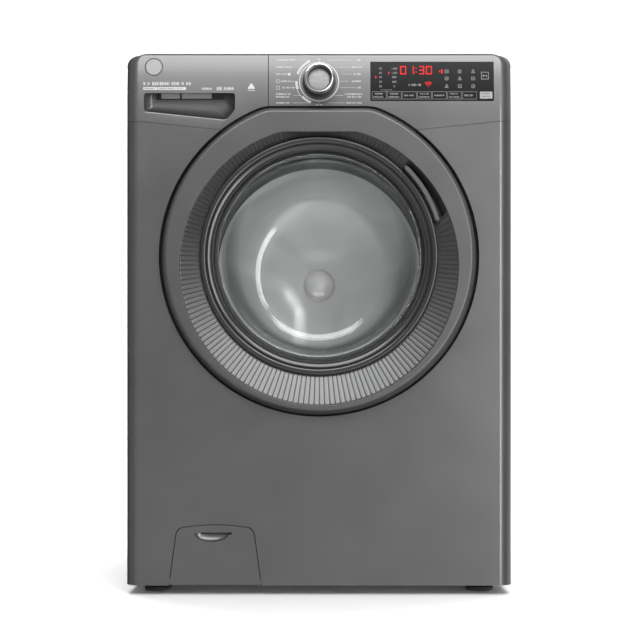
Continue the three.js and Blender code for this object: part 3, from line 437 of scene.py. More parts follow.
def dish_rim(angle):
    return rim(angle, DISH_RADIUS, DISH_FLAT, DOOR_FILLET + 8)


def ring_rim(angle):
    return rim(angle, RING_RADIUS, RING_FLAT, DOOR_FILLET, RING_DROP)


def round_row(reach, y, steps=256, z=DOOR_Z, x=0):
    """Points round a line along Y; reach is their distance, or gives it for each angle."""
    angles = [2 * pi * i / steps for i in range(steps)]
    return [turned(reach(a) if callable(reach) else reach, a, y, z, x) for a in angles]


def over_seam(rise):
    """All that lies above the seam between front panel and fascia, moved up by a rise."""
    x, z = SEAM_INNER
    side, far = HALF_WIDTH - CORNER, HALF_WIDTH + 10
    low = [(-far, SEAM_SIDE), (-side, SEAM_SIDE - 1), (-x, z), (x, z), (side, SEAM_SIDE - 1),
           (far, SEAM_SIDE)]
    return [(px, pz + rise) for px, pz in low] + [(far, TOP + 40), (-far, TOP + 40)]


def plan(inset, back):
    """The front panel's outline from above, shrunk by an inset."""
    x, y, r = HALF_WIDTH - EDGE, FRONT + EDGE, EDGE - inset
    return [(-HALF_WIDTH + inset, back), *arc(-x, y, r, 180, 270, 14), *arc(x, y, r, 270, 360, 14),
            (HALF_WIDTH - inset, back)]


def front_view(inset):
    """The cabinet's outline from the front, shrunk by an inset."""
    x, z, r = HALF_WIDTH - CORNER, TOP - CORNER, CORNER - inset
    return [(-HALF_WIDTH + inset, FOOT_HEIGHT), (HALF_WIDTH - inset, FOOT_HEIGHT),
            *arc(x, z, r, 0, 90, 14), *arc(-x, z, r, 90, 180, 14)]


def fascia_face(z):
    """How far forward the fascia's face is at a height."""
    t = max(0.0, (z - SEAM_SIDE) / (TOP - FASCIA_NOSE - SEAM_SIDE))
    return FRONT + FASCIA_LEAN * t * t


def fascia_block(name, inset, back):
    """The fascia's whole rounded outer shape, shrunk by an inset: one outline at each height."""
    rise = CORNER - inset
    heights = [UNDER_SEAM]
    heights += [SEAM_SIDE + (TOP - CORNER - SEAM_SIDE) * i / 14 for i in range(14)]
    heights += [TOP - CORNER + rise * sin(t) for t in quarter(15)]
    rows = []
    for z in heights:
        above = max(0.0, z - (TOP - CORNER))
        half = HALF_WIDTH - CORNER + sqrt(max(0.0, rise * rise - above * above))
        nose = max(0.0, z - (TOP - FASCIA_NOSE))
        r = FASCIA_NOSE - min(inset, 2.5)
        front = fascia_face(z) + FASCIA_NOSE - sqrt(max(0.0, r * r - nose * nose))
        if nose == 0:
            front = fascia_face(z) + inset
        wide, deep = EDGE - inset, min(EDGE - inset, SIDE_FRONT - 0.5 - front)
        turn = [(cos(radians(a)), sin(radians(a))) for a in range(180, 276, 6)]
        left = [(-half + wide + wide * c, front + deep + deep * s, z) for c, s in turn]
        right = [(-px, py, pz) for px, py, pz in left[::-1]]
        rows.append([(-half, back, z), *left, *right, (half, back, z)])
    return skin(name, rows, "fascia", capped=True)


# ---- Cabinet -----------------------------------------------------------------------------------
def dish_cutter(y_front, y_back, grow=0.0):
    """A block in the shape of the recess round the door."""
    outline = [(x, z) for x, _, z in round_row(lambda a: dish_rim(a) + grow, 0)]
    return prism("cutter", outline, "Y", y_front, y_back)


def flap_outline(grow):
    """The filter flap from the front, with its bowed top edge, grown by a margin."""
    x0, x1, z0 = -232 - grow, -90 + grow, FOOT_HEIGHT + 1 - grow
    return [(x0, z0), (x1, z0), *arc(-115.5 + grow, 90.2 + grow, 15, 8, 79, 10),
            *arc(-161, -170 + grow, 278.5, 81, 99, 14),
            *arc(-206.5 - grow, 90.2 + grow, 15, 101, 172, 10)]


def front_panel():
    """The folded sheet with round upright edges, open for the door's dish and the filter flap."""
    panel = prism("front_panel_sheet", plan(0, SIDE_FRONT), "Z", FOOT_HEIGHT, SEAM_SIDE, "paint")
    cut(panel,
        prism("cutter", plan(SHEET, SIDE_FRONT + 9), "Z", FOOT_HEIGHT - 9, SEAM_SIDE + 9),
        prism("cutter", over_seam(-0.5), "Y", AHEAD, BEHIND),
        dish_cutter(AHEAD, BEHIND),
        prism("cutter", flap_outline(1.2), "Y", AHEAD, -255))
    finished(edged(panel, 1.1), "cabinet", "graphite_paint", "front_panel")


def filter_flap_stop():
    """A frame behind the flap's opening, so that no daylight shows through its gap."""
    stop = prism("filter_flap_stop", flap_outline(6), "Y", FRONT + SHEET, FRONT + 4.6, "dark")
    cut(stop, prism("cutter", flap_outline(1.4), "Y", AHEAD, FRONT + 3.4),
        prism("cutter", flap_outline(-3.5), "Y", AHEAD, BEHIND),
        block("tool", (-HALF_WIDTH, AHEAD, 0), (0, BEHIND, 25)))
    finished(stop, "cabinet", "graphite_paint")


def front_dish():
    """The recess round the door, down to the round port, with a hole for the latch."""
    port = PORT_RADIUS + 3
    rows = [round_row(dish_rim, FRONT + SHEET)]
    for t in quarter(6):
        inset, y = 4 * (1 - cos(t)), DISH_FLOOR - 4 + 4 * sin(t)
        rows.append(round_row(lambda a: dish_rim(a) - inset, y))
    rows.append(round_row(port, DISH_FLOOR, z=DRUM_Z))
    for t in quarter(5)[1:]:
        rows.append(round_row(port - 3 * sin(t), DISH_FLOOR + 3 - 3 * cos(t), z=DRUM_Z))
    rows.append(round_row(PORT_RADIUS, PORT_BACK, z=DRUM_Z))
    back = [round_row(PORT_RADIUS + SHEET, PORT_BACK, z=DRUM_Z),
            round_row(PORT_RADIUS + SHEET, DISH_FLOOR + SHEET, z=DRUM_Z),
            round_row(lambda a: dish_rim(a) + SHEET, DISH_FLOOR + SHEET),
            round_row(lambda a: dish_rim(a) + SHEET, FRONT + SHEET)]
    dish = skin("front_panel_dish", rows + back, "paint", looped=True)
    x, _, z = turned(LATCH_REACH, radians(HANDLE_ANGLE), 0, DOOR_Z)
    slot = prism("cutter", arc(x, z, 11, 0, 360, 32)[:-1], "Y", -260, -230)
    cut(dish, slot, prism("cutter", over_seam(-0.5), "Y", -270, DISH_FLOOR - 1.5))
    smoothed(dish, 40)
    finished(dish, "cabinet", "graphite_paint")


def fascia(name, x0, x1):
    """The part of the fascia from x0 to x1, hollow behind its face and notched for the boards."""
    over, side = TOP + 30, HALF_WIDTH + 5
    parts = []
    for wall, part_name, back, clear in ((0, name, SIDE_FRONT, BEHIND),
                                         (3, "tool", BEHIND, BEHIND + 10)):
        part = fascia_block(part_name, wall, back)
        carve(part, "INTERSECT", prism("tool", over_seam(wall), "Y", AHEAD, clear))
        cut(part, dish_cutter(AHEAD, clear, wall))
        carve(part, "INTERSECT",
              block("tool", (x0 + wall, AHEAD, UNDER_SEAM), (x1 - wall, clear, over)))
        parts.append(part)
    piece, hollow = parts
    cut(piece, hollow)
    notches = ((HALF_WIDTH - 40, BOARD_FRONT, UNDER_SEAM), (side, BOARD_FRONT, 817),
               (side, AHEAD, TOP - 1.8))
    return cut(piece, *[block("tool", (-half, y, z), (half, BEHIND, over))
                        for half, y, z in notches])


def control_panel():
    """The fascia right of the drawer, with the display window's recess."""
    panel = fascia("control_panel_shell", DRAWER_SPLIT + 0.5, HALF_WIDTH + 5)
    low, high = box("display_window")
    recess = fascia_pad("tool", low.x - 0.3, high.x + 0.3, low.z - 0.3, high.z + 0.3, -20, 1.6)
    cut(panel, recess)
    finished(edged(panel, 0.7), "cabinet", "graphite_plastic", "control_panel")


def fascia_pad(name, x0, x1, z0, z1, front, back, material="black", steps=12):
    """A block that follows the fascia's face, from front to back behind the face."""
    rows = []
    for depth in (front, back):
        left = [(x0, z0 + (z1 - z0) * i / steps) for i in range(steps + 1)]
        right = [(x1, z1 - (z1 - z0) * i / steps) for i in range(steps + 1)]
        rows.append([(x, fascia_face(z) + depth, z) for x, z in left + right])
    n = len(rows[0])
    faces = [(i, (i + 1) % n, n + (i + 1) % n, n + i) for i in range(n)]
    for i in range(steps):
        a, b, c, d = i, i + 1, n - 2 - i, n - 1 - i
        faces += [(a, b, c, d), (n + d, n + c, n + b, n + a)]
    return solid(name, [p for row in rows for p in row], faces, material)


def display_window():
    """Dark glass over the display, cut out round the start key."""
    low, high = box("display_window")
    window = fascia_pad("display_glass", low.x, high.x, low.z, high.z, -0.15, 1.4)
    key_low, key_high = box("start_key")
    cut(window, block("tool", (key_low.x - 0.4, AHEAD, key_low.z - 0.4),
                      (key_high.x + 0.4, BEHIND, key_high.z + 0.4)))
    finished(edged(window, 0.35, 2), "cabinet", "black_gloss", "display_window")


def recess_outline(grow):
    """The drawer's finger recess from the front, grown by a margin."""
    return [(-271.2 - grow, 749.4 - grow), (-144 + grow, 736.2 - grow), (-130 + grow, 752),
            (-130 + grow, 778 + grow), (-271.2 - grow, 778 + grow)]


def rounded(corners, reach):
    """The outline with each corner drawn round over that reach, three points to a corner."""
    points = []
    for k, corner in enumerate(corners):
        corner = Vector(corner)
        ends = [corner + (Vector(p) - corner).normalized() * reach
                for p in (corners[k - 1], corners[(k + 1) % len(corners)])]
        middle = (ends[0] + 2 * corner + ends[1]) / 4
        points += [tuple(p) for p in (ends[0], middle, ends[1])]
    return points


def drawer_front():
    """The drawer's face with its finger recess: a scoop that rises to a ridge, and a slot above."""
    shell = fascia("drawer_front_shell", -HALF_WIDTH - 5, DRAWER_SPLIT - 0.5)
    slot_low, slot_high = 770.4, 782.6
    cup = recess_outline(2)[:3] + [(-128, 786), (-273.2, 786)]
    carve(shell, "UNION", prism("tool", cup, "Y", FRONT + 4, -238.7))
    outline = rounded(recess_outline(0), 4)
    lip = (0, 1.2, 2.4, 2.4, 2.2, 1.6, 0.8, 0.4) + 7 * (0,)  # how far each point's lip drops
    rows = [[(x, y, z - drop * flare) for (x, z), drop in zip(outline, lip)]
            for flare, y in ((1, AHEAD), (1, FRONT - 0.3), (0, FRONT + 0.6))]
    ends = rounded([(-250, 767.2), (-166, 767.2), (-153, 770), (-150, slot_high),
                    (-252, slot_high)], 1)
    for t in quarter(10)[1:]:
        rise, y = 1 - cos(t), FRONT + 0.6 + 13.8 * sin(t)
        rows.append([(x0 + (x1 - x0) * rise, y, z0 + (z1 - z0) * rise)
                     for (x0, z0), (x1, z1) in zip(outline, ends)])
    cut(shell, skin("tool", rows, "fascia", capped=True))
    cut(shell, block("tool", (-253, -251, slot_low), (-149, -241.2, slot_high)))
    # the recess's faces take the recess_shadow material, painted shade; the right-facing facet at
    # its left end keeps the fascia's colour as the lit side
    shell.data.materials.append(M["recess"])
    for face in shell.data.polygons:
        x, y, z = face.center / MM
        if y > FRONT + 1.6 and -272 < x < -129 and 735 < z < 779 and face.normal.y < 0.9:
            face.material_index = 0 if face.normal.x > 0.3 and x < -245 else 1
    finished(edged(shell, 0.7), "drawer", "graphite_plastic", "drawer_front")
    for x0, x1 in ((-246.5, -217.2), (-214.6, -167.6)):  # the two pale pads at the back of the slot: their pale colour is a painted highlight for the slot's underside, lit from below
        pad = block("drawer_slot_highlight_pad", (x0, -245.2, 772.4), (x1, -240.8, 781.6), "silver")
        finished(edged(pad, 0.6), "drawer", "silver_key")


# ---- Printing on the fascia --------------------------------------------------------------------
def bars(name, places, material, lift=0.12, sink=0.25, body="cabinet"):
    """Small flat bars (x0, x1, z0, z1) lying on the fascia's face, as one piece."""
    points, faces = [], []
    for x0, x1, z0, z1 in places:
        a = len(points)
        for depth in (-lift, sink):
            points += [(x, fascia_face(z) + depth, z)
                       for x, z in ((x0, z0), (x1, z0), (x1, z1), (x0, z1))]
        faces += [(a, a + 1, a + 2, a + 3), (a + 7, a + 6, a + 5, a + 4)]
        faces += [(a + i, a + 4 + i, a + 4 + (i + 1) % 4, a + (i + 1) % 4) for i in range(4)]
    thing = solid(name, points, faces, material)
    return finished(thing, body, "white_plastic")


def strokes(x0, x1, z, height, seed):
    """A row of plain upright bars, no letters, where the real machine has a printed label."""
    pick = random.Random(seed)
    places, x = [], x0
    wide, half = height * 0.2, height / 2
    while x + height * 0.5 < x1:
        width = height * pick.choice((0.5, 0.55, 0.6))
        share = pick.choice((1.0, 0.66, 0.66, 0.4))
        places.append((x, x + wide, z - half, z + half))
        places.append((x + width - wide, x + width, z - half * share, z + half * share))
        x += width + height * (0.7 if pick.random() < 0.16 else 0.2)
    return places


def frame_bars(x0, x1, z0, z1, width=0.45):
    """The outline of a rectangle, as four bars."""
    return [(x0, x1, z0, z0 + width), (x0, x1, z1 - width, z1),
            (x0, x0 + width, z0 + width, z1 - width), (x1 - width, x1, z0 + width, z1 - width)]


def face_arc(name, x, z, inner, outer, start, end, material, lift=0.12, steps=48, body="cabinet"):
    """A flat ring or arc lying on the fascia's face."""
    whole = end - start >= 360
    rows = []
    for i in range(steps if whole else steps + 1):
        a = radians(start + (end - start) * i / steps)
        row = []
        for r, depth in ((inner, -lift), (outer, -lift), (outer, 0.25), (inner, 0.25)):
            pz = z + r * sin(a)
            row.append((x + r * cos(a), fascia_face(pz) + depth, pz))
        rows.append(row)
    thing = skin(name, rows, material, looped=whole, capped=not whole)
    return finished(thing, body, "white_plastic")


def number(name, text, x, z, height, material, lift=0.3):
    """Digits lying on the fascia's face, centred at x, z."""
    curve = bpy.data.curves.new(name, "FONT")
    curve.body = text
    curve.size = height * 1.38  # a digit's height is 1 / 1.38 of the font's size
    curve.align_x, curve.align_y = "CENTER", "CENTER"
    curve.resolution_u = 2
    curve.extrude = 0.2
    made = bpy.data.objects.new(name, curve)
    bpy.context.scene.collection.objects.link(made)
    bpy.context.view_layer.update()
    flat = bpy.data.meshes.new_from_object(made.evaluated_get(
        bpy.context.evaluated_depsgraph_get()))
    points = [(x + v.co.x, fascia_face(z + v.co.y) - lift + 0.2 - v.co.z, z + v.co.y)
              for v in flat.vertices]
    faces = [tuple(face.vertices) for face in flat.polygons]
    bpy.data.objects.remove(made)
    return finished(solid(name, points, faces, material), "cabinet", "white_plastic")


SEGMENTS = {"0": "abcdef", "1": "bc", "2": "abged", "3": "abgcd", "5": "afgcd"}


def segment_digits(text, x, z, width, height, gap):
    """Bars of a row of seven-segment digits, from the left edge x and the lower edge z."""
    w = height * 0.13
    half = height / 2
    shapes = {"a": (w, width - w, height - w, height), "d": (w, width - w, 0, w),
              "g": (w, width - w, half - w / 2, half + w / 2), "f": (0, w, half + 0.3, height),
              "b": (width - w, width, half + 0.3, height), "e": (0, w, 0, half - 0.3),
              "c": (width - w, width, 0, half - 0.3)}
    places = []
    for sign in text:
        if sign == ":":
            places += [(x, x + w, z + half + s * height * 0.22 - w / 2,
                        z + half + s * height * 0.22 + w / 2) for s in (-1, 1)]
            x += w + gap
            continue
        for key in SEGMENTS[sign]:
            x0, x1, z0, z1 = shapes[key]
            places.append((x + x0, x + x1, z + z0, z + z1))
        x += width + gap
    return places


def programme_print():
    """White ring, arcs, label rows and leader lines round the programme knob."""
    for name, inner, outer, start, end, steps in (
            ("ring", 29.6, 31.2, 0, 360, 96), ("arc_upper", 33.2, 37, 113, 161, 48),
            ("arc_lower", 33.2, 36.8, 179, 200, 16), ("arc_middle", 35.9, 36.8, 201.5, 220.5, 16),
            ("arc_end", 33.2, 36.8, 222, 249, 20)):
        face_arc("print_" + name, 0, KNOB_Z, inner, outer, start, end, "print", steps=steps)
    rows = [830, 818.6, 807.6, 796.4, 786.3, 774, 762.5]
    left = [(-66.4, -36.6, -34, -14.6), (-66.4, -42, -40, -31.8), (-66.4, -50, None, None),
            (-59.2, -39.7, -38, -36.2), (-56.4, -36, None, None), (-66.4, -44.4, -39.7, -29.5),
            (-66.4, -43.2, -41, -13.3)]
    right = [(58.5, 65, 14.1, 53), (50.9, 67.5, 25.1, 49), (54, 66, 36, 51), (51, 67.5, 32.4, 45.8),
             (59.7, 67.5, 32.4, 56.6), (40, 67.5, 24.5, 37.7), (42.8, 67.5, 14.1, 40)]
    places = []
    for k, (height, l, r) in enumerate(zip(rows, left, right)):
        for start, end, line_start, line_end in (l, r):
            lines = (height + 2.2, height - 2.2) if k == 5 else (height,)
            for i, line in enumerate(lines):
                places += strokes(start + (4 * i if start > 0 else 0), end, line, 2.6,
                                  10 * k + i + (5 if start > 0 else 0))
            if line_start is not None:
                places.append((line_start, line_end, height - 0.22, height + 0.22))
    places += frame_bars(-66.4, -61.6, 794, 799, 0.5) + frame_bars(-66.4, -60.8, 783.4, 789, 0.5)
    places += [(-48.4, -44.4, 805.4, 809.4)]
    places += strokes(-5.6, 6.2, 759.6, 2.6, 77) + [(-0.4, 0.4, 762.2, 763.6)]
    bars("programme_labels", places, "print")
    face_arc("print_start_mark", 0, 831, 1.5, 2.2, 0, 360, "print", steps=20)


def drawer_print():
    """Plain round badge, title bars and capacity bars over the drawer's recess."""
    face_arc("badge_plate", -256.2, 819, 0.4, 12.3, 0, 360, "silver", 0.2, 64, "drawer")
    face_arc("badge_edge", -256.2, 819, 12.3, 14.1, 0, 360, "dark", 0.3, 64, "drawer")
    peak = [(-104.9 - w, -104.9 + w, 784.4 + k * 1.2, 785.6 + k * 1.2)
            for k, w in enumerate((5.2, 5.0, 4.4, 3.6, 2.8, 2.0, 1.3))]
    for name, places, material, lift in (
            ("title", strokes(-271.9, -198, 792.6, 5.4, 4), "print", 0.12),
            ("band", [(-272.4, -250.8, 782.8, 787.2), (-249.8, -206.2, 782.8, 787.2)],
             "print", 0.12),
            ("band_text", strokes(-270.6, -253, 785, 2.2, 8) + strokes(-247.6, -209, 785, 2.2, 9),
             "dark", 0.2),
            ("capacity", strokes(-181.7, -164, 784.6, 3.6, 5) +
             strokes(-158.4, -130.4, 784.8, 5.4, 6), "print", 0.12),
            ("symbol", peak + [(-110.4, -99.4, 781.5, 782.3)], "print", 0.12)):
        bars("drawer_" + name, places, material, lift, body="drawer")


def display_contents():
    """Generic digits, symbols and touch-key outlines behind the display glass."""
    rows = [816.2, 809.4, 802.7, 795.4, 788.3]
    for z, *values in zip(rows, ("90", "60", "40", "30", "20"),
                          ("1400", "1200", "800", "600", "0")):
        for value, x in zip(values, (95.2, 116.6)):
            number("display_value", value, x, z, 3.3, "soft")
    lit = [(87.2, 89, 801, 804.4), (107.2, 109, 807.7, 811.1), (189.4, 191.6, 808.4, 815.4),
           (186.4, 188, 810.4, 813.4)]
    lit += segment_digits("01:30", 125.8, 807.2, 9.4, 13.2, 2.5)
    bars("display_time", lit, "red", 0.32, -0.05)
    for r, w in ((7.4, 0.9), (5.4, 0.9), (3.4, 0.9), (0.01, 1.4)):
        face_arc("display_wireless", 169.4, 787.4, r, r + w if r > 1 else w, 45, 135, "red",
                 0.32, 12)
    soft = strokes(139.2, 160.6, 790.6, 3.6, 31)
    first_key, key_pitch, key_width = 82.2, 23.34, 22.1
    for k in range(7):
        x0 = first_key + key_pitch * k
        soft += frame_bars(x0, x0 + key_width, 768.3, 780.1, 0.4)
        if k in (2, 4, 6):
            soft += strokes(x0 + 3.2, x0 + 19.4, 774.2, 3.0, 50 + k)
        else:
            soft += strokes(x0 + 4.2, x0 + 17.6, 776.7, 2.5, 60 + k)
            soft += strokes(x0 + 2.4, x0 + 19.8, 771.7, 2.5, 70 + k)
    soft += [(95, 113, 782.6, 783), (103.8, 104.2, 780.1, 782.6)]
    for column, x in enumerate((197.8, 218.2, 238.9)):
        for row, z in enumerate((811.9, 800.7, 788.6)):
            kind = (column + row) % 3
            if kind == 0:
                soft += frame_bars(x - 2.8, x + 2.8, z - 2.6, z + 2.6, 0.6)
                soft += [(x - 1.2, x + 1.2, z - 0.4, z + 0.4)]
            elif kind == 1:
                face_arc("display_symbol", x, z, 2.2, 2.9, 0, 360, "soft", 0.32, 20)
                soft += [(x - 0.35, x + 0.35, z - 1.3, z + 1.3)]
            else:
                soft += [(x - w, x + w, z - 2.4 + k * 1.6, z - 1.7 + k * 1.6)
                         for k, w in enumerate((3.1, 2.4, 1.7, 0.9))]
    soft += frame_bars(251.4, 263.0, 799.4, 811.0, 0.7)
    soft += [(254, 255.2, 803.4, 806.8), (255.2, 260.6, 804.6, 805.4), (259.6, 260.6, 803.2, 804.6)]
    bars("display_symbols", soft, "soft", 0.32, -0.05)


def start_key():
    """Silver key with its stem and two rows of dark bars."""
    low, high = box("start_key")
    key = fascia_pad("start_key_cap", low.x, high.x, low.z, high.z, -1.5, 2.2, "silver", 4)
    stem = block("tool", (low.x + 6, -261, low.z + 3.5), (high.x - 6, -252.5, high.z - 3.5))
    carve(key, "UNION", stem)
    finished(edged(key, 0.5), "key", "silver_key", "start_key")
    marks = []
    for rise, seed in ((2.4, 91), (-2.2, 92)):
        marks += strokes(low.x + 3, high.x - 3.4, middle("start_key").z + rise, 2.2, seed)
    bars("start_key_marks", marks, "dark", 1.6, -1.3, "key")


def knob():
    """Smoked knob with a chrome rim and a hollow satin face, on a dark skirt."""
    profile = [(0.0, -275.6), (16.9, -275.6), (17.4, -276.6), (19.3, -287.9), (19.6, -288.9),
               (21.6, -288.9), (22.3, -288), (22.5, -286.8), (23.1, -268), (23.4, -265.4),
               (23.4, -263.2), (3.2, -262.9), (3.2, -257), (0.0, -257)]
    body = lathe("programme_knob_body", profile, "smoked", 0, KNOB_Z, 96)
    finished(body, "knob", "chrome", "programme_knob")
    rim_profile = [(19.3, -288.2), (19.5, -289.3), (20.2, -289.9), (21.2, -289.9), (22, -289.4),
                   (22.4, -288.4), (22.5, -286.9), (21.8, -286.6), (19.9, -286.9)]
    face = [(0.0, -276.9), (12, -276.8), (16.3, -276.6), (16.8, -276.2), (16.8, -275.2),
            (0.0, -275.2)]
    for name, profile, material, steps in (("rim", rim_profile, "chrome", 96),
                                           ("face", face, "satin_face", 64)):
        turn = lathe("programme_knob_" + name, profile, material, 0, KNOB_Z, steps)
        finished(turn, "knob", "chrome")
    mark = block("programme_knob_mark", (-0.45, -277.2, KNOB_Z + 10), (0.45, -276.4, KNOB_Z + 15.4),
                 "print")
    finished(edged(mark, 0.12, 2), "knob", "white_plastic")
    skirt = [(23.6, -263.6), (25.2, -263.4), (25.7, -262.9), (25.7, -262.2), (23.6, -262.2)]
    finished(lathe("programme_knob_skirt", skirt, "dark", 0, KNOB_Z, 96), "knob", "dark_plastic")


def filter_flap():
    """Flap with a shaded scoop under its finger slot, and a cup behind them."""
    flap = prism("filter_flap_door", flap_outline(0), "Y", FRONT, FRONT + 2.5, "paint")
    cup = prism("tool", [(-196, 79.5), (-134, 79.5), (-130.5, 90), (-130.5, 100), (-198, 100),
                         (-198, 90)], "Y", FRONT + 1, FRONT + 13.5)
    carve(flap, "UNION", cup)
    rows, steps = [], 24
    for t in quarter(12)[1:]:
        row = []
        for i in range(steps):
            a = pi + pi * i / (steps - 1)
            row.append((-166.2 + 27 * sin(t) * cos(a), FRONT - 0.4 + 7.5 * cos(t),
                        95.8 + 13.6 * sin(t) * sin(a)))
        rows.append(row)
    last = [(x, AHEAD, z) for x, _, z in rows[-1]]
    cut(flap, skin("tool", rows + [last], "paint", capped=True))
    cut(flap, block("tool", (-183, AHEAD, 93.9), (-135, FRONT + 11.5, 97.3)))
    for x in (-215, -107):
        carve(flap, "UNION", block("tool", (x - 5, FRONT + 2, 17), (x + 5, FRONT + 8, 26)))
    finished(edged(flap, 0.3), "flap", "graphite_paint", "filter_flap")


# ---- Door --------------------------------------------------------------------------------------
def hinge_cutters():
    """Room for the hinge's pin and arm at the door's left."""
    x, y = -DOOR_RADIUS + 10, DOOR_FRONT + 8
    low, high = DOOR_Z - 27, DOOR_Z + 27
    return [block("tool", (x - 5.4, y - 5.4, low), (x + 20, y + 60, high)),
            block("tool", (x - 30, y + 0.3, low), (x + 1, y + 60, high))]


def door_frame():
    """The outer ring: round outside, stepped down to the ribs, notched for the hinge."""
    edge = 7
    rows = [round_row(lambda a: door_rim(a) - 8, DOOR_BACK), round_row(door_rim, DOOR_BACK)]
    for t in quarter(8):
        inset, y = edge * (1 - cos(t)), DOOR_FRONT + edge * (1 - sin(t))
        rows.append(round_row(lambda a: door_rim(a) - inset, y))
    for t in quarter(4):
        inset, y = 1.5 * (1 - sin(t)), DOOR_FRONT + 1.5 * (1 - cos(t))
        rows.append(round_row(lambda a: ring_rim(a) + inset, y))
    ledge, under = -252, DOOR_FRONT + 3.5
    rows += [round_row(ring_rim, ledge), round_row(lambda a: ring_rim(a) + 3, ledge),
             round_row(lambda a: ring_rim(a) + 3, under),
             round_row(lambda a: door_rim(a) - 9, under)]
    frame_piece = skin("door_outer_ring", rows, "ring", looped=True)
    cut(frame_piece, *hinge_cutters())
    weighted = frame_piece.modifiers.new("normals", "WEIGHTED_NORMAL")
    weighted.keep_sharp = True
    smoothed(frame_piece, 40)
    finished(frame_piece, "door", "graphite_plastic", "door_frame")


RIBS = 176
RIB_SHAPE = (1.0, 1.0, 0.06, 0.0, 0.0, 0.0, 0.06)  # depth at each place, 1 in the groove
RIB_PLACE = (0.0, 0.12, 0.17, 0.26, 0.6, 0.88, 0.95)  # where along the rib's pitch
CUP_LOW, CUP_HIGH, CUP_SLANT = 15.2, 46.4, 3.8  # degrees of the handle's cup


def ribbed_ring():
    """The cone between frame and bezel: a groove between ribs, and the handle's cup, both darkened
    with painted shade.
    """
    inner = BEZEL_RADIUS + 0.5
    low, high = radians(CUP_LOW), radians(CUP_HIGH)
    pitch = 2 * pi / RIBS
    angles = [(pitch * (i + place), depth) for i in range(RIBS)
              for place, depth in zip(RIB_PLACE, RIB_SHAPE)]
    angles = [(a, d) for a, d in angles if min(abs(a - low), abs(a - high)) > 0.006]
    angles += [(end + side * 0.002, 0) for end in (low, high) for side in (-1, 1)]
    angles.sort()
    profile = (0.0, 0.012, 0.04, 0.1, 0.3, 0.5, 0.7, 0.9, 0.97, 1.0)
    top, bottom, cup_floor, foot = DOOR_FRONT + 1.4, -267.0, -255.2, -252.5
    clearance = 0.35
    rows, dark = [], []
    for k, (a, groove) in enumerate(angles):
        in_cup = low < a < high
        near = max(0.0, 1 - abs(a - low) / radians(9))
        row = []
        for t in profile:
            angle = a + radians(CUP_SLANT) * (1 - t) * near
            outer = ring_rim(angle) - clearance
            fade = min(1.0, t / 0.04, (1 - t) / 0.06)
            y = top + (bottom - top) * (0.03 + 0.97 * t) + groove * fade
            if t == 0.0:
                y = top + 0.6
            if in_cup:
                y = top + 0.4 + 40 * t if t < 0.11 else cup_floor
            r = outer + (inner - outer) * t
            row.append(turned(r, angle, y, DOOR_Z))
        back = foot if in_cup else bottom + 2.5
        row += [turned(inner, a, back, DOOR_Z), turned(ring_rim(a) - clearance, a, foot, DOOR_Z)]
        rows.append(row)
        after = angles[(k + 1) % len(angles)][1]
        dark.append(in_cup or (groove == 1.0 and after == 1.0))
    ring = skin("door_ribs", rows, "ribs", looped=True, smooth=50)
    # faces in the grooves and over the handle's cup take the groove_shadow material: painted shade
    ring.data.materials.append(M["groove"])
    across = len(rows[0])
    for face in ring.data.polygons:
        column = face.index // across
        lip = 3 if rows[column][4][1] > -256 else 0
        if lip <= face.index % across < across - 2 and dark[column]:
            face.material_index = 1
    finished(ring, "door", "graphite_plastic", "door_ribbed_ring")


def bezel():
    """Dark rings stepping in from the ribs to the rim of the glass."""
    r = BEZEL_RADIUS
    profile = [(r, -255), (r, -270.4), (r - 0.5, -272), (r - 1.6, -273.1), (r - 3, -273.5),
               (r - 6, -273.4), (r - 8.6, -272.8), (r - 9.4, -272), (r - 9.9, -270.6),
               (r - 10.6, -270.1), (r - 11.3, -270.6), (r - 11.8, -271.6), (r - 12.6, -272),
               (r - 16.4, -271), (r - 17.4, -270.4), (r - 18, -269.2), (r - 18.7, -268.8),
               (r - 19.4, -269.2), (r - 20.3, -269), (r - 21.4, -267.2), (r - 22.2, -265),
               (r - 22.3, -263), (r - 21.6, -262.3), (165, -262), (165, -255)]
    rings = lathe("door_bezel_rings", profile, "bezel", z=DOOR_Z, steps=256)
    finished(rings, "door", "black_gloss", "door_bezel")


def bowl_profile(inset):
    """(y, radius, drop) down the glass bowl's wall, smooth from the flange to its far end."""
    shape = [(-259.5, 155.5, 0), (-257, 153.0, -0.3), (-250, 150.5, -1), (-238, 147.7, -2.8),
             (-225, 144.6, -5), (-208, 139.6, -8.6), (-190, 133, -12.6), (-176, 126.4, -16),
             (-167, 119.6, -18.6), (-161, 111, -20), (-157.4, 100, -20.6), (-155.6, 86, -20.7),
             (-155, 60, -20.7), (-154.6, 30, -20.7)]
    return [(y - inset, r - inset * 0.9, z) for y, r, z in shape]


def glass_bowl():
    """The bowl with its beaded flange; its far end dips below the door's axis."""
    flange = [(GLASS_RADIUS, -255.2, 0), (GLASS_RADIUS, -261, 0), (GLASS_RADIUS - 0.7, -261.9, 0),
              (158.8, -263, 0), (157.4, -263.7, 0), (155.6, -263.6, 0), (153.8, -262.4, 0),
              (151.8, -260, 0), (149, -256.6, 0)]
    inside = [(r, y, z) for y, r, z in bowl_profile(4.4)[2:]]
    outside = [(r, y, z) for y, r, z in bowl_profile(0)[::-1]]
    rows = [round_row(r, y, 160, DOOR_Z + z) for r, y, z in flange + inside]
    far = [(0.0, -159.2, -20.7), (0.0, -154.4, -20.7)]
    rows += [round_row(r, y, 160, DOOR_Z + z) for r, y, z in far + outside]
    rows.append(round_row(156.5, -255.2, 160))
    bowl = skin("door_glass_bowl", rows, "glass", looped=True, smooth=60)
    finished(bowl, "door", "glass", "door_glass")


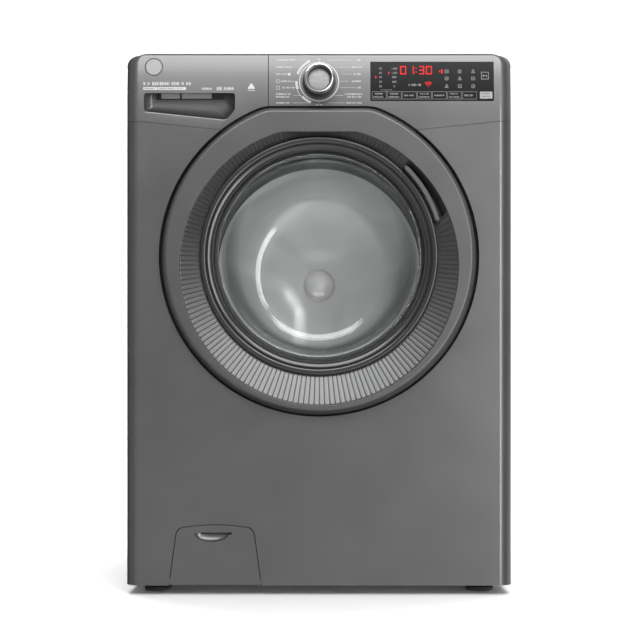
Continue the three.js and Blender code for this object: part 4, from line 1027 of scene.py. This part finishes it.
def curved_bar(name, section, low, high, material, steps=40, nose=0.5):
    """A bar along an arc round the door's axis, from a section of (radius, y), with round ends."""
    mean_r = sum(r for r, _ in section) / len(section)
    mean_y = sum(y for _, y in section) / len(section)
    rows = []
    for i in range(-4, steps + 5):
        s = min(max(i, 0), steps) / steps
        over = max(0, -i, i - steps) / 4
        size = max(0.05, sqrt(max(0.0, 1 - over * over)))
        a = radians(low + (high - low) * s + (1 if i > steps else -1) * over * nose)
        row = []
        for r, y in section:
            r, y = mean_r + (r - mean_r) * size, mean_y + (y - mean_y) * size
            row.append(turned(r, a, y, DOOR_Z))
        rows.append(row)
    bar = skin(name, rows, material, capped=True, smooth=60)
    bar.modifiers.new("normals", "WEIGHTED_NORMAL")
    return applied(bar)


def rounded_section(r0, r1, y0, y1, corner):
    """A rectangle of (radius, y) points with round corners."""
    section = []
    for cr, cy, start in ((r1 - corner, y0 + corner, 0), (r0 + corner, y0 + corner, 90),
                          (r0 + corner, y1 - corner, 180), (r1 - corner, y1 - corner, 270)):
        for k in range(5):
            t = radians(start + 22.5 * k)
            section.append((cr + corner * cos(t), cy - corner * sin(t)))
    return section


def handle():
    """A curved pull bar with its finger grip behind and a pin at each end."""
    low, high = CUP_LOW + 1.4, CUP_HIGH - 1
    section = rounded_section(186.4, 193.2, -281.4, -270, 0.9)
    bar = curved_bar("door_handle_bar", section, low, high, "bar", nose=0.25)
    finished(bar, "handle", "graphite_plastic", "door_handle")
    section = rounded_section(187.5, 191, -271.5, -261.5, 1.2)
    grip = curved_bar("door_handle_grip", section, low + 0.6, high - 0.6, "dark")
    finished(grip, "handle", "graphite_plastic")
    turn = radians(HANDLE_ANGLE)
    along, out = Vector((-sin(turn), 0, cos(turn))), Vector((cos(turn), 0, sin(turn)))
    pin_radius, pin_y = 186, -262
    for side in (-1, 1):
        ends = [out * pin_radius + along * side * reach + Vector((0, pin_y, DOOR_Z))
                for reach in (44.5, 58)]
        rows = [[tuple(end + out * 2 * cos(t) + Vector((0, 2 * sin(t), 0)))
                 for t in (2 * pi * i / 16 for i in range(16))] for end in ends]
        finished(skin("door_handle_pin", rows, "satin", capped=True), "handle", "graphite_plastic")


# ---- Drum and seal -----------------------------------------------------------------------------
def drum_wall():
    """Stainless cylinder with real punched holes."""
    low, high = box("drum_shell")
    around, along = 72, 14
    outer = DRUM_RADIUS
    ring = [(0, 0), (0.5, 0), (1, 0), (1, 0.5), (1, 1), (0.5, 1), (0, 1), (0, 0.5)]
    hole = [(0.5 - 0.15 * cos(t), 0.5 - 0.15 * sin(t))
            for t in (radians(45 + 45 * i) for i in range(8))]
    points, faces = [], []
    pitch = (high.y - low.y) / along
    for i in range(around):
        for k in range(along):
            start = len(points)
            for r in (outer - SHEET, outer):
                for u, v in ring + hole:
                    a = 2 * pi * (i + u) / around
                    points.append(turned(r, a, low.y + pitch * (k + v), DRUM_Z))
            for j in range(8):
                n = (j + 1) % 8
                faces.append((start + j, start + n, start + 8 + n, start + 8 + j))
                faces.append((start + 16 + n, start + 16 + j, start + 24 + j, start + 24 + n))
                faces.append((start + 8 + j, start + 8 + n, start + 24 + n, start + 24 + j))
            if k == 0:
                faces += [(start, start + 1, start + 17, start + 16),
                          (start + 1, start + 2, start + 18, start + 17)]
            if k == along - 1:
                faces += [(start + 4, start + 5, start + 21, start + 20),
                          (start + 5, start + 6, start + 22, start + 21)]
    finished(solid("drum_wall", points, faces, "steel", 30), "drum", "steel", "drum_shell")


def smoothstep(t):
    """From 0 to 1 with soft ends."""
    t = min(1.0, max(0.0, t))
    return t * t * (3 - 2 * t)


def drum_back_depth(r, a):
    """Height in y of the pressed back: a domed hub, and raised fields between three arms."""
    if r < 27.5:
        return 138 - 17 * sqrt(1 - (r / 27.6) ** 2)
    raised = smoothstep((r - 40) / 30) * smoothstep((222 - r) / 24)
    apart = min(abs((a - arm + pi) % (2 * pi) - pi)
                for arm in (radians(30), radians(150), radians(270)))
    beside = smoothstep((apart * r - 20) / 34)
    return 138 - 4 * raised * beside


def drum_back():
    """The pressed back sheet, polished at its hub."""
    radii = [0.5, 5, 10, 15, 19, 22, 24.5, 26.5, 27.4, 29, 32, 38, 44, 48, 52, 56, 60]
    radii += [60 + 5.5 * k for k in range(1, 29)] + [217, 221, 228, 236, 243, DRUM_RADIUS]
    rows = [round_row(lambda a, r=r: r, 0, 144, DRUM_Z) for r in radii]
    front = [[(x, drum_back_depth(r, 2 * pi * i / 144), z) for i, (x, _, z) in enumerate(row)]
             for r, row in zip(radii, rows)]
    rear = [[(x, y + 1.6, z) for x, y, z in row] for row in front[::-1]]
    sheet = skin("drum_back_sheet", front + rear, "polished", looped=True, smooth=50)
    sheet.data.materials.append(M["hub"])
    for face in sheet.data.polygons:
        x, _, z = face.center / MM
        if hypot(x, z - DRUM_Z) < 27.5:
            face.material_index = 1
    finished(sheet, "drum", "steel", "drum_back")


def drum_front():
    """The drum's front flange, rolled round at its mouth."""
    r = DRUM_RADIUS
    profile = [(171.5, -181.2), (168.5, -179.6), (167, -180.6), (167.2, -182.6), (169, -184.1),
               (171.6, -184), (178, -181.4), (190, -180), (215, -179.4), (r - 8, -178.4),
               (r - 3, -176.6), (r - 0.8, -174), (r, -171), (r, -168.4), (r - 1.6, -168.4),
               (r - 3, -172.6), (r - 9, -176.6), (215, -177.8), (190, -178.4), (178, -179.6)]
    finished(lathe("drum_front_flange", profile, "steel", 0, DRUM_Z, 128, 60), "drum", "steel",
             "drum_front")


def paddle(node, angle):
    """Lifter: a rounded ridge along the drum's wall, with softly sloping ends."""
    low, high = box(node)
    a = radians(angle)
    out = Vector((cos(a), 0, sin(a)))
    across = Vector((-sin(a), 0, cos(a)))
    centre = Vector((0, 0, DRUM_Z))
    base = DRUM_RADIUS - SHEET - 4.2
    half, tall = 36.5, 46
    rows, steps = [], 36
    for i in range(steps + 1):
        t = i / steps
        y = low.y + 0.5 + (high.y - low.y - 1) * t
        end = smoothstep(min(t, 1 - t) / 0.16 + 0.12)
        row = [(-half, 0.0), (half, 0.0)]
        for k in range(1, 18):
            u = half - 2 * half * k / 18
            shape = cos(pi * u / (2 * half + 2)) ** 1.5
            row.append((u * (0.9 + 0.1 * end), tall * end * shape + 1.2))
        rows.append([tuple(centre + out * (base - v) + across * u + Vector((0, y, 0)))
                     for u, v in row])
    ridge = skin(node + "_ridge", rows, "white", capped=True, smooth=50)
    finished(ridge, "drum", "white_plastic", node)


def door_seal():
    """Folded rubber sleeve: a lip for the glass, one deep fold and the clamp grooves."""
    profile = [(165.2, -246), (166.4, -247), (168.6, -247.2), (170.4, -246.2), (170.5, -226.5),
               (178, -226.5), (178, -224), (170.4, -223.6), (168.8, -221.6), (168.2, -216),
               (168.8, -209.8), (170.6, -207.4), (176, -206.8), (176, -197.5), (172.7, -197.5),
               (172.5, -203), (169, -204.2), (165, -205.6), (161.8, -208.8), (159.8, -213),
               (159.4, -218), (161, -222), (163.4, -225.6), (163.6, -229), (161.8, -232.6),
               (161.2, -236.6), (162.6, -241)]
    flexible(lathe("door_seal_sleeve", profile, "seal", 0, DRUM_Z, 128, 50),
             "door_seal")


def tube(name, path, section, material, sides=28):
    """A tube, or a bar where the bore is 0; section(t) gives its outer and its bore's radius."""
    rows, inner = [], []
    turns = [2 * pi * i / sides for i in range(sides)]
    for k, point in enumerate(path):
        along = (path[min(k + 1, len(path) - 1)] - path[max(k - 1, 0)]).normalized()
        across = Vector((1, 0.13, 0)).cross(along).normalized()
        other = along.cross(across)
        outer, bore = section(k / (len(path) - 1))
        for r, wall in ((outer, rows), (bore, inner)):
            wall.append([tuple(point + (across * cos(t) + other * sin(t)) * r) for t in turns])
    if bore == 0:
        return skin(name, rows, material, capped=True, smooth=50)
    return skin(name, rows + inner[::-1], material, looped=True, smooth=50)


def curve_through(points, steps):
    """Points along a smooth curve through the given ones."""
    points = [Vector(p) for p in points]
    ends = [2 * points[0] - points[1], *points, 2 * points[-1] - points[-2]]
    path = []
    for k in range(len(points) - 1):
        a, b, c, d = ends[k:k + 4]
        for i in range(steps):
            t = i / steps
            path.append(0.5 * (2 * b + (c - a) * t + (2 * a - 5 * b + 4 * c - d) * t * t +
                               (3 * b - a - 3 * c + d) * t ** 3))
    return path + [points[-1]]


def hoses():
    """The two hoses that meet the tub, with bellows in the middle of their length."""
    for node, points, radius, waves, upper, lower in (
            ("fill_hose", ((-215, -60, 731), (-215, -60, 712), (-206, -66, 690), (-204, -68, 660)),
             17, 5, 729, 700),
            ("sump_hose", ((-160, -170, 113), (-160, -168, 150), (-132, -90, 215),
                           (-130, -80, 292)), 16, 13, 150, 262)):
        def section(t):
            inside = smoothstep((t - 0.12) / 0.08) * smoothstep((0.66 - t) / 0.08)
            fold = 1.3 * inside * (1 - cos(2 * pi * waves * (t - 0.12) / 0.54))
            return radius - fold, radius - fold - 2.5
        hose = tube(node + "_bellows", curve_through(points, 26), section, "rubber")
        tub = [(0, -300), (TUB_RADIUS + 0.5, -300), (TUB_RADIUS + 0.5, 200), (0, 200)]
        cut(hose, lathe("tool", tub, "rubber", 0, DRUM_Z))
        flexible(hose, node)


def springs():
    """Close coils of round wire, drawn in to the middle at the two hooks."""
    for node in ("spring_left", "spring_right"):
        low, high = box(node)
        x, y = (low.x + high.x) / 2, (low.y + high.y) / 2
        bottom, top, turns = low.z + 2, high.z - 2, 15
        path = []
        for k in range(turns * 20 + 1):
            t = k / (turns * 20)
            r = 10 * smoothstep(min(t, 1 - t) * turns / 0.8)
            a = 2 * pi * turns * t
            path.append(Vector((x + r * cos(a), y + r * sin(a),
                                bottom + (top - bottom) * t)))
        coil = tube(node + "_coil", path, lambda t: (1.5, 0), "satin", 8)
        flexible(coil, node)


# ---- Sides, top and back -----------------------------------------------------------------------
def pressed_sheet(name, spans, depth, inset, corner, place, material, thick=SHEET):
    """A sheet over two spans with a rounded field pressed in; place maps (u, v, depth) to space."""
    lines = []
    for low, high in spans:
        marks = [0, 3]
        marks += [inset + d for d in (-2, 0, 2, 4, 6, 8, 10, 13, 17, 22, 28, 35, 44, 56)]
        span = high - low
        whole = marks + [inset + 56 + (span - 2 * inset - 112) * k / 8 for k in range(1, 8)]
        whole += [span - m for m in marks]
        lines.append([low + m for m in sorted(whole)])
    (u0, u1), (v0, v1) = spans
    half_u, half_v = (u1 - u0) / 2 - inset - corner, (v1 - v0) / 2 - inset - corner
    mid_u, mid_v = (u0 + u1) / 2, (v0 + v1) / 2

    def pressed(u, v):
        du, dv = max(0.0, abs(u - mid_u) - half_u), max(0.0, abs(v - mid_v) - half_v)
        return depth * smoothstep((corner - hypot(du, dv)) / 9)

    us, vs = lines
    wide = len(vs)
    points = [place(u, v, pressed(u, v)) for u in us for v in vs]
    points += [place(u, v, pressed(u, v) + thick) for u in us for v in vs]
    back = len(us) * wide
    faces = []
    for i in range(len(us) - 1):
        for k in range(wide - 1):
            a, b = i * wide + k, (i + 1) * wide + k
            faces += [(a, b, b + 1, a + 1), (back + a, back + a + 1, back + b + 1, back + b)]
    edge = [*range(wide)] + [i * wide + wide - 1 for i in range(1, len(us))]
    edge += [(len(us) - 1) * wide + k for k in range(wide - 2, -1, -1)]
    edge += [i * wide for i in range(len(us) - 2, 0, -1)]
    for k, a in enumerate(edge):
        b = edge[(k + 1) % len(edge)]
        faces.append((a, b, back + b, back + a))
    return solid(name, points, faces, material, 30)


def side_panels():
    """Pressed side sheets with folded flanges, and the brackets for the tub's springs."""
    for side, node in ((-1, "side_panel_left"), (1, "side_panel_right")):
        low, high = box(node)
        outer = low.x if side < 0 else high.x
        sheet = pressed_sheet(node + "_sheet", ((low.y, high.y), (low.z, high.z)), 1.4, 46, 34,
                              lambda u, v, d: (outer - side * d, u, v), "paint")
        finished(sheet, "cabinet", "graphite_paint", node)
        inner = outer - side * SHEET
        for name, y0, y1, reach in (("front", low.y, low.y + SHEET, 8),
                                    ("rear", high.y - SHEET, high.y, 22)):
            x0, x1 = sorted((inner, outer - side * reach))
            flange = block(node + "_flange_" + name, (x0, y0, low.z), (x1, y1, high.z), "paint")
            finished(edged(flange, 0.3, 2), "cabinet", "graphite_paint")
        spring_low, spring_high = box("spring_left" if side < 0 else "spring_right")
        x0, x1 = sorted(((spring_low.x + spring_high.x) / 2 - side * 14, inner))
        hook = block(node + "_spring_bracket", (x0, spring_low.y - 1, 788.5),
                     (x1, spring_high.y + 1, 796), "zinc")
        finished(edged(hook, 0.6, 2), "cabinet", "graphite_paint")


def screw(name, x, y, z, body, radius=4.2):
    """Pan-head screw with a cross slot, its head towards +Y."""
    profile = [(0.0, y + 2.3), (1.6, y + 2.3), (3, y + 1.9), (radius - 0.4, y + 1.1),
               (radius, y + 0.2), (radius, y - 0.4), (0.0, y - 0.4)]
    head = lathe(name, profile, "satin", x, z, 24)
    cut(head, *[block("tool", (x - wide, y + 1.2, z - tall), (x + wide, y + 3, z + tall))
                for wide, tall in ((2.3, 0.45), (0.45, 2.3))])
    finished(head, body, "steel")


def rear_panels():
    """Pressed back sheet with its openings, the round belt cover and their screws."""
    low, high = box("rear_panel")
    sheet = pressed_sheet("rear_panel_sheet", ((low.x, high.x), (low.z, high.z)), 2.2, 26, 24,
                          lambda u, v, d: (u, high.y - d, v), "zinc", 1.0)
    cover_low, cover_high = box("rear_cover")
    cx, cz = (cover_low.x + cover_high.x) / 2, (cover_low.z + cover_high.z) / 2
    gland = middle("mains_gland")
    places = ((0, 470, 168), (middle("inlet_valve").x, INLET_Z, 14), (gland.x, gland.z, 8),
              (235, 112, 13))
    cut(sheet, *[prism("tool", arc(x, z, radius, 0, 360, 48)[:-1], "Y", 255, 290)
                 for x, z, radius in places])
    smoothed(sheet, 30)
    finished(sheet, "cabinet", "zinc_steel", "rear_panel")
    r = (cover_high.x - cover_low.x) / 2
    y = cover_low.y
    profile = [(0.0, y + 2.4), (24, y + 2.4), (30, y + 4.6), (118, y + 4.9), (124, y + 5.9),
               (158, y + 6), (166, y + 5.2), (171, y + 3), (174, y + 1.4), (r - 1, y + 1.2),
               (r, y + 0.6), (r, y), (0.0, y)]
    finished(lathe("rear_cover_pressing", profile, "zinc", cx, cz, 128), "cabinet", "zinc_steel",
             "rear_cover")
    for k in range(6):
        place = turned(r - 6, radians(60 * k + 30), y + 1.2, cz, cx)
        screw("rear_cover_screw", *place, "cabinet")
    for x in (low.x + 10, high.x - 10):
        for z in (low.z + 14, (low.z + high.z) / 2, high.z - 14):
            screw("rear_panel_screw", x, high.y, z, "cabinet")


def inlet_and_outlets():
    """Threaded water inlet with its square body, and the cable gland."""
    low, high = box("inlet_valve")
    x = -242  # centre of the thread
    body = block("inlet_valve_body", (low.x, 232, 757), (high.x, 266, 799), "white")
    finished(edged(body, 2.5), "cabinet", "white_plastic", "inlet_valve")
    profile = [(0.0, 262), (11, 262), (11, 270), (13, 271), (13, 273.4)]
    for k in range(6):
        y = 274 + 2.4 * k
        profile += [(11.6, y), (13, y + 0.9), (13, y + 1.5), (11.6, y + 2.2)]
    profile += [(11, 289), (10.4, 290), (8.4, 290), (8.2, 286), (0.0, 286)]
    outlet = [(0.0, 214), (6, 214), (7, 215), (7, 220), (6.2, 221), (7, 222), (7, 233), (0.0, 233)]
    for name, points, z, steps in (("thread", profile, INLET_Z, 48), ("outlet", outlet, 790, 32)):
        turn = lathe("inlet_valve_" + name, points, "white", x, z, steps)
        finished(turn, "cabinet", "white_plastic")
    gland = middle("mains_gland")
    profile = [(0.0, 266), (7.6, 266), (7.6, 274), (9.6, 274.6), (9.6, 277), (7.6, 277.6),
               (7.2, 281), (6.8, 283.6), (6.2, 284), (4.6, 284), (4.4, 281), (0.0, 281)]
    finished(lathe("mains_gland_bush", profile, "rubber", gland.x, gland.z, 40), "cabinet",
             "black_rubber", "mains_gland")


def top_plate():
    """Worktop with round side edges, and a thin dark edge strip over the fascia."""
    low, high = box("top_plate")
    sides = [(x, max(z, low.z)) for x, z in front_view(0.4)]
    plate = prism("top_plate_board", sides, "Y", low.y, high.y, "fascia")
    finished(edged(plate, 1.2), "cabinet", "graphite_plastic", "top_plate")
    half, front = HALF_WIDTH - CORNER + 1, fascia_face(TOP) - 0.3
    bend = arc(-half + EDGE, front + EDGE, EDGE, 180, 270, 14)
    outline = bend + [(-x, y) for x, y in bend[::-1]]
    strip = prism("top_plate_edge", outline, "Z", TOP - 1.5, TOP - 0.1, "dark")
    finished(edged(strip, 0.4, 2), "cabinet", "graphite_plastic")


def door_screws():
    """Screws that hold the door's inner ring."""
    y, reach = box("door_inner_frame")[1].y, 204
    for k in range(8):
        screw("door_inner_screw", *turned(reach, radians(45 * k + 9), y, DOOR_Z), "door")


# ---- Studio ------------------------------------------------------------------------------------
def camera():
    """Straight at the front, as the photo was taken."""
    data = bpy.data.cameras.new("camera")
    distance, height = 2.05, 0.33
    view_width, view_height = 0.991, 0.4262
    data.sensor_width = 36
    data.lens = 36 * distance / view_width
    data.shift_y = (view_height - height) / view_width
    eye = bpy.data.objects.new("camera", data)
    eye.location = (0.0015, FRONT * MM - distance, height)
    eye.rotation_euler = (radians(90), 0, 0)
    bpy.context.scene.collection.objects.link(eye)
    bpy.context.scene.camera = eye


def lamp(name, place, aim, width, height, power, mirrored=True):
    """A rectangular lamp; where it isn't mirrored, gloss doesn't show it."""
    data = bpy.data.lights.new(name, "AREA")
    data.shape = "RECTANGLE"
    data.size, data.size_y = width, height
    data.energy = power
    thing = bpy.data.objects.new(name, data)
    thing.location = place
    aim_line = Vector(aim) - Vector(place)
    thing.rotation_euler = aim_line.to_track_quat("-Z", "Y").to_euler()
    thing.visible_glossy = mirrored
    bpy.context.scene.collection.objects.link(thing)


def studio():
    """A pale sweep that gloss doesn't show, the lamps and the room's reflection."""
    floor = bpy.data.meshes.new("studio_floor")
    far, back, rise = 9.0, 5.4, 7.0
    profile = [(-far, 0.0), (back - 2, 0.0)]
    profile += [(back - 2 + 2 * sin(t), 2 - 2 * cos(t)) for t in quarter(15)[1:]]
    profile.append((back, rise))
    points = [(x, y, z) for y, z in profile for x in (-far, far)]
    floor.from_pydata(points, [], [(2 * i, 2 * i + 1, 2 * i + 3, 2 * i + 2)
                                   for i in range(len(profile) - 1)])
    floor.shade_smooth()
    pale = surface("studio_pale", (0.86, 0.86, 0.86), 0.9, 0.0, 0.01, 60, 0.0)
    floor.materials.append(pale)
    sweep = bpy.data.objects.new("studio_floor", floor)
    bpy.context.scene.collection.objects.link(sweep)
    sweep.visible_glossy = False
    sky()
    lamp("key_top", (0.1, -2.5, 2.3), (0, -0.2, 0.7), 2.6, 0.9, 55)
    lamp("side_right", (1.14, -2.6, 0.5), (0.2, -0.2, 0.4), 0.4, 1.8, 22)
    lamp("drum_top", (0, -0.12, 0.70), (0, 0.12, 0.5), 0.25, 0.03, 0.5, False)
    lamp("drum_low", (0, -0.12, 0.33), (0, 0.12, 0.5), 0.25, 0.03, 0.33, False)
    lamp("backdrop", (0, 1.4, 4.4), (0, 4.6, 0.2), 5.0, 1.0, 330)
    lamp("floor_fill", (0, -0.4, 3.4), (0, 0.3, 0), 4.0, 2.0, 55, False)
    bpy.context.scene.view_settings.view_transform = "Standard"


def sky():
    """The room that gloss mirrors, as levels by height and by bearing round the machine."""
    heights = ((-90, 1.6), (-30, 1.6), (-8, 1.1), (2, 0.44), (8, 0.5), (22, 1.1), (90, 1.25))
    bearings = ((-180, 0.5), (-128, 0.04), (-98, 0.06), (-91, 0.5), (-83, 0.5), (-72, 0.1),
                (-50, 0.35), (-38, 0.8), (-18, 0.72), (-8, 0.76), (0, 0.9), (8, 0.88), (15, 1.6),
                (32, 1.6), (46, 0.2), (76, 0.15), (94, 1.0), (150, 1.0), (180, 0.5))
    n = Nodes(bpy.data.worlds.new("studio"))
    split = n.add("ShaderNodeSeparateXYZ")
    n.link(n.place["Generated"], split.inputs["Vector"])
    x, y, z = (split.outputs[k] for k in "XYZ")
    height = n.maths("MULTIPLY_ADD", n.maths("ARCSINE", z, 0), 1 / pi, 0.5)
    bearing = n.maths("MULTIPLY_ADD", n.maths("ARCTAN2", x, n.maths("MULTIPLY", y, -1)),
                      0.5 / pi, 0.5)
    both = n.add("ShaderNodeMix", data_type="RGBA", blend_type="MULTIPLY")
    both.inputs["Factor"].default_value = 1.0
    # 6 and 7 are the colours that are mixed, and output 2 is their product
    for socket, factor, levels, turn in ((6, height, heights, 180), (7, bearing, bearings, 360)):
        stops = [(angle / turn + 0.5, (level, level, level)) for angle, level in levels]
        n.link(n.colours(factor, *stops), both.inputs[socket])
    background = n.tree.nodes["Background"]
    n.link(both.outputs[2], background.inputs["Color"])
    background.inputs["Strength"].default_value = 0.75
    bpy.context.scene.world = n.owner


CAD_MATERIALS = {
    "graphite_paint": "paint", "graphite_plastic": "fascia", "dark_plastic": "dark",
    "black_gloss": "bezel", "chrome": "chrome", "steel": "satin", "cast_aluminium": "cast",
    "zinc_steel": "zinc", "white_plastic": "white", "grey_plastic": "grey",
    "concrete": "concrete", "seal_rubber": "seal", "black_rubber": "rubber", "glass": "glass",
    "board": "board", "silver_key": "silver",
}


def dress_cad_nodes():
    """Every CAD node that stays takes its finish, with smooth round faces and soft edges."""
    slots = {s["node"]: s["material_slot"] for s in frame["record"]["subparts"]}
    for name, thing in frame["nodes"].items():
        for slot in thing.material_slots:
            slot.material = M[CAD_MATERIALS[slots[name]]]
        weld = thing.modifiers.new("weld", "WELD")
        weld.merge_threshold = 1e-5
        smooth = thing.modifiers.new("edges", "BEVEL")
        smooth.width = 0.0006
        smooth.segments = 2
        smooth.limit_method = "ANGLE"
        smooth.angle_limit = radians(40)
        smoothed(thing, 40)


camera()
studio()
dress_cad_nodes()
front_panel()
filter_flap_stop()
front_dish()
control_panel()
drawer_front()
drawer_print()
display_window()
display_contents()
start_key()
programme_print()
knob()
filter_flap()
door_frame()
ribbed_ring()
bezel()
glass_bowl()
handle()
drum_wall()
drum_back()
drum_front()
for paddle_node, paddle_angle in (("drum_paddle_1", 30), ("drum_paddle_2", 270),
                                  ("drum_paddle_3", 150)):
    paddle(paddle_node, paddle_angle)
door_seal()
hoses()
springs()
side_panels()
rear_panels()
inlet_and_outlets()
top_plate()
door_screws()
